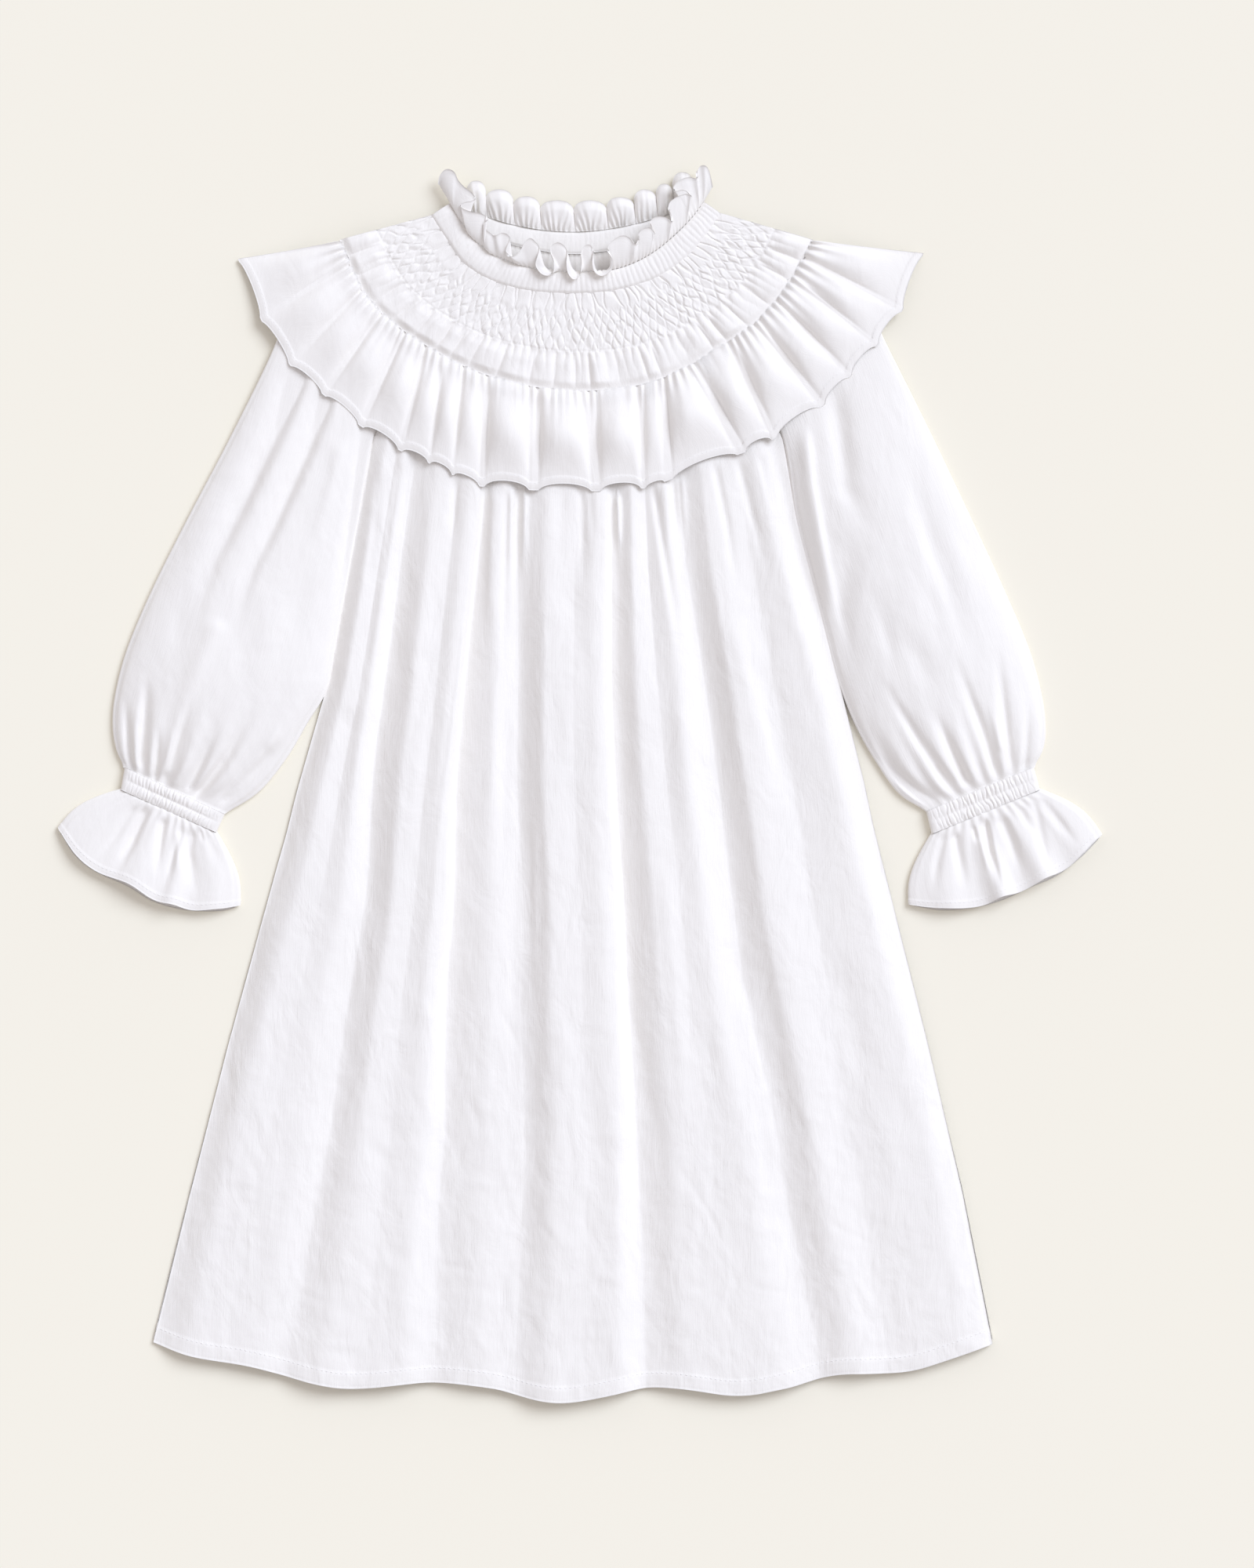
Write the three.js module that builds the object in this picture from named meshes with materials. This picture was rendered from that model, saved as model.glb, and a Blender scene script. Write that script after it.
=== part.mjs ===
// Peasant dress laid flat, front up: smocked yoke, wide yoke ruffle, full raglan sleeves, A-line body
import * as THREE from 'three';

// Driving sizes in millimetres: the hem lies towards -Y and the underside rests at z = 0
const CLOTH = 1.2;
const SEAM_GAP = 0.3;
const LAYER = CLOTH + SEAM_GAP;
const FRILL_CLOTH = 1.0;
const HEM_RAISE = 0.4;
const HEM_STEP = 0.4;
const BODY_HEM_BAND = 8.5;
const RUFFLE_HEM_BAND = 4;
const BACK_HEM_INSET = 3;

// Halvings that find a place along a curve
const X_HALVINGS = 40;

// Places of the points across one fold, from its left trough to its right one
const FOLD_STEPS = [0, 0.16, 0.38, 0.62, 0.84];
const RUFFLE_STEPS = [0, 0.24, 0.5, 0.76];

// Seam where the yoke, the ruffle, the body and the sleeves meet, left shoulder to right shoulder
const YOKE_SEAM = spline([
  [-125.5, 284], [-113, 256.8], [-98, 241.2], [-80, 228.6], [-56, 216], [-28, 208], [-2, 205],
  [28, 207.5], [52, 215.5], [76, 230], [93, 242], [109, 261], [122, 284],
]);
const BAND_OUTER = spline([
  [-77.5, 296.8], [-69, 283.7], [-60, 271.5], [-46, 262.8], [-27, 257.6], [-5, 256.2], [17, 257.6],
  [39, 264], [55.4, 275.2], [66.4, 288], [73, 298],
]);
const BAND_INNER = spline([
  [-68, 303], [-61.5, 292], [-53, 281.5], [-41, 273.6], [-24.6, 268.6], [-5, 266.8], [14.8, 267.4],
  [28, 271.2], [39.5, 277.6], [50, 286.2], [59.5, 296], [65, 303.6],
]);
const BACK_BAND_OUTER = spline([[-77.5, 296.8], [-45, 284.6], [-2.5, 277], [42, 285.4], [73, 298]]);
const BACK_BAND_INNER = spline([[-68, 303], [-35, 291.9], [-3, 288.2], [29, 292.4], [65, 303.6]]);
const BODY_HEM = spline([
  [-223, -292], [-202, -299], [-170, -304.6], [-125, -315.3], [-78, -312.6], [-46, -315.7], [-10, -323],
  [40, -315.3], [81, -319.4], [106, -315.7], [135, -308.6], [172, -306.5], [215.7, -292.7],
]);

// Side edges of the body: raglan seam to the underarm at 0.346, then the side seam to the hem
const BODY_EDGES = [
  { down: 0, left: [-84, 230.8], right: [77.9, 231.4] },
  { down: 0.095, left: [-107.4, 181.2], right: [105.8, 180] },
  { down: 0.177, left: [-115.3, 138], right: [112.8, 138] },
  { down: 0.346, left: [-131.6, 50], right: [134.1, 55] },
  { down: 0.52, left: [-157.7, -41], right: [157.3, -37.5] },
  { down: 0.7, left: [-183.5, -135], right: [181.3, -133] },
  { down: 0.85, left: [-203.6, -213.5], right: [200.1, -213] },
  { down: 1, left: [-223, -292], right: [215.7, -292.7] },
];
const BODY_ROWS = [0, 0.05, 0.095, 0.177, 0.26, 0.346, 0.45, 0.56, 0.67, 0.78, 0.9];
const BODY_LENGTH = 522;
const BODY_SIDE_BLEND = 0.12;
const BODY_HEM_BLEND = 0.85;

// Back body: columns across it, and where its underside steps down from the back ruffle to the surface
const BACK_COLUMNS = 14;
const BACK_STEP_FROM = 0.105;
const BACK_STEP_LENGTH = 0.07;

// Down the body, where the fold table below gives its five values
const FOLD_STOPS = [0.12, 0.33, 0.56, 0.78, 1];

// One row for each trough of the body front, left to right: its place across the panel, the height of
// the cloth in it, and the crest of the fold to its right, which leans to the left below a lean of 0.5
const BODY_FOLDS = [
  {
    // Left edge
    across: [0, 0, 0, 0, 0], lean: 0.5,
    floor: [4, 2.8, 2.8, 2.8, 2.8], crest: [7.8, 8.8, 8.4, 7.8, 7],
  },
  {
    // Side pleat
    across: [0.062, 0.064, 0.08, 0.085, 0.085], lean: 0.5,
    floor: [6.2, 8.4, 8.2, 7.6, 6.8], crest: [8.2, 9.4, 9, 8.2, 7.2],
  },
  {
    // Left trough
    across: [0.113, 0.12, 0.165, 0.172, 0.164], lean: 0.4,
    floor: [4.6, 3.6, 4.8, 6, 6.2], crest: [8.4, 10.4, 10, 9, 8.2],
  },
  {
    // Left crease
    across: [0.216, 0.214, 0.235, 0.25, 0.255], lean: 0.55,
    floor: [6.2, 9.8, 9.8, 8.8, 8.1], crest: [8.4, 10.2, 9.8, 8.8, 8],
  },
  {
    // Dart trough
    across: [0.285, 0.272, 0.303, 0.326, 0.34], lean: 0.5,
    floor: [4.4, 3.4, 3.6, 3.9, 3.6], crest: [8, 5.6, 4.4, 5.6, 6.6],
  },
  {
    // Shaded trough
    across: [0.374, 0.389, 0.424, 0.441, 0.437], lean: 0.2,
    floor: [4.4, 3.2, 3.4, 5.2, 6.4], crest: [8.6, 10.6, 10.2, 9.2, 8.2],
  },
  {
    // Centre crease
    across: [0.497, 0.484, 0.505, 0.515, 0.515], lean: 0.6,
    floor: [6.2, 9.9, 10, 9.1, 8.2], crest: [8.4, 10.2, 9.6, 8.8, 8],
  },
  {
    // Centre trough
    across: [0.591, 0.574, 0.588, 0.594, 0.595], lean: 0.35,
    floor: [4.4, 3, 3, 3.2, 3.3], crest: [8.2, 9.8, 9.6, 8.8, 7.6],
  },
  {
    // Right crease
    across: [0.661, 0.656, 0.67, 0.685, 0.695], lean: 0.5,
    floor: [5.2, 8.9, 9.4, 8.7, 7.6], crest: [8.4, 9.8, 9.6, 8.8, 7.8],
  },
  {
    // Right trough
    across: [0.757, 0.768, 0.769, 0.789, 0.804], lean: 0.3,
    floor: [4.6, 4.2, 4.8, 4.6, 3.8], crest: [8.2, 9.8, 9.4, 8.4, 7],
  },
  {
    // Far trough
    across: [0.889, 0.885, 0.883, 0.873, 0.878], lean: 0.5,
    floor: [6, 6, 6.6, 6.2, 5.6], crest: [7.8, 9, 8.6, 7.8, 6.8],
  },
  {
    // Right edge
    across: [1, 1, 1, 1, 1], lean: 0.5,
    floor: [4, 2.8, 2.8, 2.8, 2.8], crest: [4, 4, 4, 4, 4],
  },
];

// One row for each trough of the front ruffle: its x on the yoke seam, its hem point, the height of its
// underside at the hem, and the rise of the fold to its right
const RUFFLE_FOLDS = [
  { seam: -125, hem: [-178.8, 274.3], low: 2, rise: 4 },
  { seam: -120.8, hem: [-166.5, 242], low: 5.8, rise: 4 },
  { seam: -114, hem: [-151.5, 218.5], low: 8.6, rise: 4.5 },
  { seam: -104.5, hem: [-134, 203], low: 8.6, rise: 5 },
  { seam: -92.3, hem: [-114.5, 186.5], low: 8.6, rise: 5.5 },
  { seam: -80, hem: [-93.5, 173.5], low: 8.6, rise: 5 },
  { seam: -71.3, hem: [-78.5, 167], low: 8.6, rise: 5 },
  { seam: -61.5, hem: [-66.5, 161], low: 9, rise: 5 },
  { seam: -50, hem: [-52, 155], low: 8.6, rise: 8 },
  { seam: -23.4, hem: [-24.5, 153], low: 8.6, rise: 9 },
  { seam: 5, hem: [9, 152.5], low: 8.6, rise: 8 },
  { seam: 32.5, hem: [34, 154], low: 8.6, rise: 4 },
  { seam: 43, hem: [44.5, 157.5], low: 9, rise: 8 },
  { seam: 59, hem: [86.5, 173], low: 8.6, rise: 6 },
  { seam: 78, hem: [101, 179.5], low: 8.6, rise: 6.5 },
  { seam: 92.6, hem: [127.5, 197.5], low: 8.6, rise: 5 },
  { seam: 102.5, hem: [141.5, 212.5], low: 8.6, rise: 5 },
  { seam: 111.3, hem: [155.5, 229], low: 8.6, rise: 4.5 },
  { seam: 117, hem: [168.5, 247], low: 5.8, rise: 4 },
  { seam: 121.6, hem: [179.6, 277.2], low: 2, rise: 0 },
];
const RUFFLE_ROWS = [0, 0.25, 0.62];
const RUFFLE_DEPTH = 49;
const RUFFLE_LOW_AT_SEAM = 5.2;
const RUFFLE_OVERHANG = 1.6;
const RUFFLE_CREST_LIFT = 5;
const RUFFLE_FULL_RISE = 8;
const RUFFLE_DROP = 1.4;
const RUFFLE_SEAM_SWELL = 0.1;

// One row for each section of a sleeve, yoke seam to cuff: outer edge, inner edge, underside, crest height,
// and how strongly the long folds and the cuff pleats show there
const SLEEVE_LEFT = [
  { outer: [-125, 283], inner: [-84.4, 230.8], low: 1.5, crest: 4.9, folds: 0, pleats: 0 },
  { outer: [-146, 260], inner: [-96, 206], low: 1.5, crest: 6.6, folds: 0.12, pleats: 0 },
  { outer: [-163, 221], inner: [-107.7, 181.2], low: 1.5, crest: 8.2, folds: 0.25, pleats: 0 },
  { outer: [-184, 179], inner: [-115.6, 138], low: 0, crest: 10.5, folds: 0.38, pleats: 0 },
  { outer: [-205, 139], inner: [-121.6, 105.5], low: 0, crest: 12, folds: 0.4, pleats: 0 },
  { outer: [-224, 101], inner: [-127.3, 74.7], low: 0, crest: 13, folds: 0.36, pleats: 0 },
  { outer: [-237, 70], inner: [-131.9, 50], low: 0, crest: 13.5, folds: 0.3, pleats: 0 },
  { outer: [-243, 47], inner: [-142.5, 31.5], low: 0, crest: 13, folds: 0.2, pleats: 0 },
  { outer: [-244.4, 31], inner: [-153.5, 13], low: 0, crest: 12, folds: 0.1, pleats: 0.8 },
  { outer: [-242.5, 18], inner: [-168, -4.5], low: 0, crest: 9.5, folds: 0, pleats: 1.3 },
  { outer: [-238.3, 9.2], inner: [-185.4, -15.4], low: 0, crest: 5.6, folds: 0, pleats: 0.6 },
];
const SLEEVE_RIGHT = [
  { outer: [121.6, 283], inner: [78.3, 231.4], low: 1.5, crest: 4.9, folds: 0, pleats: 0 },
  { outer: [144, 261], inner: [92.2, 205.7], low: 1.5, crest: 6.6, folds: 0.12, pleats: 0 },
  { outer: [163, 224], inner: [106.1, 180], low: 1.5, crest: 8.2, folds: 0.25, pleats: 0 },
  { outer: [183, 184], inner: [113.1, 138], low: 0, crest: 10.5, folds: 0.38, pleats: 0 },
  { outer: [203, 142], inner: [121, 107.3], low: 0, crest: 12, folds: 0.4, pleats: 0 },
  { outer: [222, 101], inner: [128.4, 78.2], low: 0, crest: 13, folds: 0.36, pleats: 0 },
  { outer: [235, 70], inner: [134.4, 55], low: 0, crest: 13.5, folds: 0.3, pleats: 0 },
  { outer: [241.5, 46], inner: [143.2, 32], low: 0, crest: 13, folds: 0.2, pleats: 0 },
  { outer: [243.5, 29], inner: [154, 12.5], low: 0, crest: 12, folds: 0.1, pleats: 0.8 },
  { outer: [242, 17.5], inner: [166.5, -5], low: 0, crest: 9.5, folds: 0, pleats: 1.3 },
  { outer: [237.3, 9.2], inner: [180.8, -14], low: 0, crest: 5.6, folds: 0, pleats: 0.6 },
];
const SLEEVE_TOP_POINTS = 22;
const SLEEVE_PLEATS = 7;
const SLEEVE_TROUGHS = [0.36, 0.68];
const SLEEVE_TROUGH_WIDTH = 0.09;
const SLEEVE_ROUNDNESS = 0.55;

// Cuffs and their ruffles: the two lines of the cuff, then the hem of the ruffle from outer to inner end
const CUFF_LEFT = {
  top: [[-237.9, 8.8], [-185.5, -15.8]],
  bottom: [[-240, -3], [-189.9, -25.4]],
  hem: spline([[-273.1, -23], [-264.5, -36.9], [-253.4, -45.9], [-237, -53.3], [-223, -61.5],
    [-206, -66], [-188, -66.4], [-177.5, -63.6]]),
};
const CUFF_RIGHT = {
  top: [[237.1, 8.8], [180.9, -14.4]],
  bottom: [[240.4, -3], [183.8, -26.2]],
  hem: spline([[273.1, -26.7], [263, -37.4], [250, -47.6], [236, -54], [219.4, -61.3],
    [204, -65], [188, -66], [171.8, -63.1]]),
};
const CUFF_RIBS = 18;
const CUFF_WALL = 1.9;
const CUFF_EDGE = 5.2;
const CUFF_CREST = 6.2;
const CUFF_CHANNEL = 0.7;
const CUFF_RIB = 0.45;
const CUFF_ROUNDNESS = 0.5;
const CUFF_SWELLS = [0, 1, 0, 1, 0];
const CUFF_SEAM_DROP = SEAM_GAP * 1.2;
const CUFF_RUFFLE_DEPTH = 40;
const CUFF_RUFFLE_MIDDLE = 0.45;
const CUFF_RUFFLE_FOLDS = 6;
const CUFF_RUFFLE_STEPS = 5;
const CUFF_RUFFLE_SIDE = 5;
const CUFF_RUFFLE_TROUGH = 4.6;
const CUFF_RUFFLE_CREST = 11;
const CUFF_RUFFLE_START = 0.15;
const CUFF_RUFFLE_ROUNDNESS = 0.4;
const CUFF_RUFFLE_EDGE_RISE = 0.2;

// Tube sections lie as a flat loop: corner radius, height of its side edge, points along its underside,
// then what keeps its inner loop inside the outer one where the section is steep or pinched
const TUBE_CORNER = 1.6;
const TUBE_EDGE = 3.4;
const TUBE_UNDER_POINTS = 6;
const TUBE_SIDE_SHARE = 0.2;
const TUBE_INSET_SHARE = 0.8;
const TUBE_STEEP_LIMIT = 1.6;
const TUBE_SLOPE_STEP = 0.02;
const TUBE_INNER_SIDE = 0.2;
const TUBE_INNER_ROOM = 0.3;

// Yoke relief: ridges at the band, rows of shirring below, small gathers released at the seam
const YOKE_COLUMNS = 56;
const YOKE_BACK_COLUMNS = 40;
const YOKE_UNDER_EDGE = 1.5;
const YOKE_UNDER_LOFT = 3.1;
const YOKE_LOFT_ROUNDNESS = 0.6;
const YOKE_SHOULDER_LIFT = 2;
const YOKE_WALL = 1.4;
const YOKE_RELIEF = [
  { down: 0, ridge: 0.5, shift: 0 },
  { down: 0.14, ridge: 1, shift: 0 },
  { down: 0.3, ridge: 1, shift: 1 },
  { down: 0.42, ridge: 0.9, shift: 0 },
  { down: 0.54, ridge: 0.9, shift: 1 },
  { down: 0.66, ridge: 0.8, shift: 0 },
  { down: 0.82, ridge: 0.5, shift: 0 },
  { down: 1, ridge: 0.3, shift: 0 },
];

// Neckband channel and the frill that stands on it
const BAND_COLUMNS = 44;
const BAND_WALL = 1.6;
const BAND_PUFF = 0.8;
const BAND_GATHER = 0.3;
const BAND_LIFT = 0.45;
const FRILL_WAVES = 12;
const BACK_FRILL_WAVES = 7;
const FRILL_STEPS = 6;
const FRILL_ROWS = [0, 0.2, 0.6, 1];
const FRILL_COLLAR = 0.2;
const FRILL_LOOP = 1.2;
const BACK_FRILL_DEPTH = 16;
const BACK_FRILL_SCALLOP = 3;
const BACK_FRILL_BASE = 1;
const BACK_FRILL_LEVEL = 2.6;
const BACK_FRILL_CLIMB = 2;
const BACK_FRILL_WAVE = 1.9;
const BACK_FRILL_FLARE = 1.3;
const BACK_FRILL_SPAN = [0.115, 0.865];

// How the front frill lies along the neck, left to right: leaning into the neck, laid up towards +Y,
// standing off the surface, and swaying from side to side
const FRILL_LAY = [
  { along: 0, inward: 1, up: 15.5, rise: 7, sway: 2.5 },
  { along: 0.1, inward: 1, up: 9, rise: 9, sway: 3.5 },
  { along: 0.2, inward: 1.5, up: 1, rise: 11, sway: 4.3 },
  { along: 0.5, inward: 0, up: 0, rise: 11, sway: 4.6 },
  { along: 0.62, inward: 6, up: 0, rise: 9, sway: 3.6 },
  { along: 0.8, inward: 9, up: 1, rise: 7, sway: 2.6 },
  { along: 0.92, inward: 4, up: 10, rise: 8, sway: 2.6 },
  { along: 1, inward: 2, up: 17.4, rise: 7, sway: 2.5 },
];

// Curves and tables
function spline(points) {
  return new THREE.SplineCurve(points.map(([x, y]) => new THREE.Vector2(x, y)));
}

function lerp(a, b, t) {
  return a + (b - a) * t;
}

function mix(a, b, t) {
  return [lerp(a[0], b[0], t), lerp(a[1], b[1], t)];
}

function smooth(t) {
  const s = THREE.MathUtils.clamp(t, 0, 1);
  return s * s * (3 - 2 * s);
}

// Finds the two stops around a place, and how far it lies between them
function between(stops, at) {
  let i = 0;
  while (i < stops.length - 2 && at > stops[i + 1]) i += 1;
  return { i, t: THREE.MathUtils.clamp((at - stops[i]) / (stops[i + 1] - stops[i]), 0, 1) };
}

function straight(stops, values, at) {
  const { i, t } = between(stops, at);
  return lerp(values[i], values[i + 1], t);
}

function eased(stops, values, at) {
  const { i, t } = between(stops, at);
  return lerp(values[i], values[i + 1], smooth(t));
}

// Rounded rise and fall from 0 to 1 and back over a width: the lower the roundness, the squarer it is
function arch(across, roundness) {
  return Math.max(Math.sin(Math.PI * across), 0) ** roundness;
}

// Place, from 0 to 1, where a left-to-right curve has a given x
function atX(curve, x) {
  let low = 0;
  let high = 1;
  for (let halving = 0; halving < X_HALVINGS; halving += 1) {
    const middle = (low + high) / 2;
    if (curve.getPoint(middle).x < x) low = middle;
    else high = middle;
  }
  return (low + high) / 2;
}

// Point of a curve moved sideways: a positive distance goes to the right of its direction
function beside(curve, t, distance) {
  const point = curve.getPoint(t);
  const direction = curve.getTangent(t);
  return [point.x + direction.y * distance, point.y - direction.x * distance];
}

// Closed wall between an outer and an inner grid of points: rows down the cloth, columns across it
function wall(outer, inner, loop) {
  const rows = outer.length;
  const columns = outer[0].length;
  const positions = [...outer.flat(), ...inner.flat()].flatMap((p) => [p.x, p.y, p.z]);
  const out = (r, c) => r * columns + (c % columns);
  const inn = (r, c) => rows * columns + out(r, c);
  const faces = [];
  const quad = (a, b, c, d) => faces.push(a, b, c, a, c, d);
  const spans = loop ? columns : columns - 1;
  for (let r = 0; r < rows - 1; r += 1) {
    for (let c = 0; c < spans; c += 1) {
      quad(out(r, c), out(r + 1, c), out(r + 1, c + 1), out(r, c + 1));
      quad(inn(r, c), inn(r, c + 1), inn(r + 1, c + 1), inn(r + 1, c));
    }
  }
  for (let c = 0; c < spans; c += 1) {
    quad(out(0, c), out(0, c + 1), inn(0, c + 1), inn(0, c));
    quad(out(rows - 1, c), inn(rows - 1, c), inn(rows - 1, c + 1), out(rows - 1, c + 1));
  }
  if (!loop) {
    for (let r = 0; r < rows - 1; r += 1) {
      quad(out(r, 0), inn(r, 0), inn(r + 1, 0), out(r + 1, 0));
      quad(out(r, columns - 1), out(r + 1, columns - 1), inn(r + 1, columns - 1), inn(r, columns - 1));
    }
  }
  if (enclosedVolume(positions, faces) < 0) faces.reverse();
  const geometry = new THREE.BufferGeometry();
  geometry.setAttribute('position', new THREE.Float32BufferAttribute(positions, 3));
  geometry.setIndex(faces);
  geometry.computeVertexNormals();
  return geometry;
}

function enclosedVolume(positions, faces) {
  const corner = (i) => new THREE.Vector3().fromArray(positions, faces[i] * 3);
  let sum = 0;
  for (let i = 0; i < faces.length; i += 3) {
    sum += corner(i).dot(corner(i + 1).cross(corner(i + 2)));
  }
  return sum / 6;
}

// Upward normals of a grid of points, from its neighbours along rows and columns
function gridNormals(points) {
  const rows = points.length;
  const columns = points[0].length;
  return points.map((row, r) => row.map((_, c) => {
    const down = points[Math.min(r + 1, rows - 1)][c].clone().sub(points[Math.max(r - 1, 0)][c]);
    const across = row[Math.min(c + 1, columns - 1)].clone().sub(row[Math.max(c - 1, 0)]);
    return down.cross(across).normalize();
  }));
}

function shifted(points, normals, distance) {
  return points.map((row, r) => row.map((p, c) => p.clone().addScaledVector(normals[r][c], distance)));
}

// Fold profile from one trough (0) to the next (1), with its crest where it leans
function foldHeight(s, lean) {
  return Math.sin((Math.PI / 2) * (s < lean ? s / lean : (1 - s) / (1 - lean)));
}

// Underside of the back body: it lies on the back ruffle near the yoke and on the surface below it
function backLow(down) {
  return LAYER * (1 - smooth((down - BACK_STEP_FROM) / BACK_STEP_LENGTH));
}

function bodyEdge(side, down) {
  const stops = BODY_EDGES.map((row) => row.down);
  return [0, 1].map((axis) => straight(stops, BODY_EDGES.map((row) => row[side][axis]), down));
}

// Plan position on the body at a place across (0 left, 1 right) and down (0 seam, 1 hem)
function bodyPlan(across, down, hemInset) {
  const left = bodyEdge('left', down);
  const right = bodyEdge('right', down);
  const top = BODY_EDGES[0];
  const bottom = BODY_EDGES[BODY_EDGES.length - 1];
  const seamPlace = atX(YOKE_SEAM, lerp(top.left[0], top.right[0], across));
  const seam = beside(YOKE_SEAM, seamPlace, SEAM_GAP);
  const hem = BODY_HEM.getPoint(atX(BODY_HEM, lerp(bottom.left[0], bottom.right[0], across)));
  const middle = lerp(seam[1], hem.y + hemInset, down);
  const chord = lerp(left[1], right[1], across);
  const inside = smooth(Math.min(across, 1 - across) / BODY_SIDE_BLEND);
  const share = down === 0 || down > BODY_HEM_BLEND ? 1 : inside;
  return [lerp(left[0], right[0], across), lerp(chord, middle, share)];
}

function bodyRows() {
  const band = 1 - BODY_HEM_BAND / BODY_LENGTH;
  return [...BODY_ROWS, band - HEM_STEP / BODY_LENGTH, band, 1];
}

// Front body: folds worked out from their table, flat at the yoke seam, with the turned hem raised
function bodyFront() {
  const rows = bodyRows();
  const band = rows[rows.length - 2];
  const seamTop = RUFFLE_LOW_AT_SEAM - SEAM_GAP;
  const top = rows.map((down) => {
    const least = backLow(down) + LAYER + CLOTH;
    const gathered = smooth(down / FOLD_STOPS[0]);
    const raise = down >= band ? HEM_RAISE : 0;
    const point = (fold, next, s) => {
      const from = eased(FOLD_STOPS, fold.across, down);
      const across = lerp(from, eased(FOLD_STOPS, next.across, down), s);
      const floor = eased(FOLD_STOPS, (s < fold.lean ? fold : next).floor, down);
      const folded = lerp(floor, eased(FOLD_STOPS, fold.crest, down), foldHeight(s, fold.lean));
      const z = Math.max(lerp(seamTop, folded, gathered), least);
      return new THREE.Vector3(...bodyPlan(across, down, 0), z + raise);
    };
    const row = [];
    for (let i = 0; i < BODY_FOLDS.length - 1; i += 1) {
      for (const s of FOLD_STEPS) row.push(point(BODY_FOLDS[i], BODY_FOLDS[i + 1], s));
    }
    row.push(point(BODY_FOLDS[BODY_FOLDS.length - 2], BODY_FOLDS[BODY_FOLDS.length - 1], 1));
    return row;
  });
  const under = shifted(top, gridNormals(top), -CLOTH);
  under.forEach((row, r) => row.forEach((p) => {
    p.z = Math.max(p.z, backLow(rows[r]) + LAYER);
  }));
  return wall(top, under, false);
}

// Back body: one flat layer under the front
function bodyBack() {
  const rows = BODY_ROWS.concat(1);
  const under = rows.map((down) => Array.from({ length: BACK_COLUMNS + 1 }, (_, c) => {
    const plan = bodyPlan(c / BACK_COLUMNS, down, BACK_HEM_INSET);
    return new THREE.Vector3(plan[0], plan[1], backLow(down));
  }));
  const top = under.map((row) => row.map((p) => p.clone().setZ(p.z + CLOTH)));
  return wall(top, under, false);
}

// Front ruffle: deep folds over the body and sleeves, with a raised doubled hem
function ruffleFront() {
  const band = 1 - RUFFLE_HEM_BAND / RUFFLE_DEPTH;
  const rows = [...RUFFLE_ROWS, band - HEM_STEP / RUFFLE_DEPTH, band, 1];
  const middle = rows.map((down) => {
    const row = [];
    const point = (fold, next, s) => {
      const fullness = smooth(fold.rise / RUFFLE_FULL_RISE);
      const sway = RUFFLE_OVERHANG * down * Math.sin(2 * Math.PI * s) * fullness;
      const seam = beside(YOKE_SEAM, atX(YOKE_SEAM, lerp(fold.seam, next.seam, s)), SEAM_GAP);
      const hem = mix(fold.hem, next.hem, s);
      const along = [next.hem[0] - fold.hem[0], next.hem[1] - fold.hem[1]];
      const width = Math.hypot(...along);
      const lift = RUFFLE_CREST_LIFT * Math.sin(Math.PI * s) * fullness;
      const out = mix(seam, hem, down * (1 - lift / RUFFLE_DEPTH));
      const low = lerp(RUFFLE_LOW_AT_SEAM, lerp(fold.low, next.low, s), smooth(down * RUFFLE_DROP));
      const swell = Math.sin(Math.PI * s) * fold.rise * smooth(lerp(RUFFLE_SEAM_SWELL, 1, down));
      const x = out[0] - (along[0] / width) * sway;
      const y = out[1] - (along[1] / width) * sway;
      return new THREE.Vector3(x, y, low + swell + CLOTH / 2);
    };
    for (let i = 0; i < RUFFLE_FOLDS.length - 1; i += 1) {
      for (const s of RUFFLE_STEPS) row.push(point(RUFFLE_FOLDS[i], RUFFLE_FOLDS[i + 1], s));
    }
    row.push(point(RUFFLE_FOLDS[RUFFLE_FOLDS.length - 2], RUFFLE_FOLDS[RUFFLE_FOLDS.length - 1], 1));
    return row;
  });
  const normals = gridNormals(middle);
  const top = shifted(middle, normals, CLOTH / 2);
  top.slice(-2).forEach((row) => row.forEach((p) => {
    p.z += HEM_RAISE;
  }));
  return wall(top, shifted(middle, normals, -CLOTH / 2), false);
}

// Back ruffle: pressed flat between the back body and the surface
function ruffleBack() {
  const rows = [0, 1];
  const hemX = RUFFLE_FOLDS.map((fold) => fold.hem[0]);
  const hemY = RUFFLE_FOLDS.map((fold) => fold.hem[1]);
  const seamX = RUFFLE_FOLDS.map((fold) => fold.seam);
  const folds = RUFFLE_FOLDS.length - 1;
  const columns = folds * 2;
  const places = RUFFLE_FOLDS.map((_, i) => i);
  const reach = 1 - BACK_HEM_INSET / RUFFLE_DEPTH;
  const under = rows.map((down) => Array.from({ length: columns + 1 }, (_, c) => {
    const at = (c / columns) * folds;
    const seam = beside(YOKE_SEAM, atX(YOKE_SEAM, straight(places, seamX, at)), SEAM_GAP);
    const hem = [straight(places, hemX, at), straight(places, hemY, at)];
    return new THREE.Vector3(...mix(seam, hem, down * reach), 0);
  }));
  const top = under.map((row) => row.map((p) => p.clone().setZ(CLOTH)));
  return wall(top, under, false);
}

// Underside of the front yoke: close to the back at the shoulders, lofted at the centre
function yokeUnder(along, down) {
  const loft = arch(along, YOKE_LOFT_ROUNDNESS);
  return YOKE_UNDER_EDGE + YOKE_SHOULDER_LIFT * down * (1 - loft) + YOKE_UNDER_LOFT * loft;
}

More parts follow.
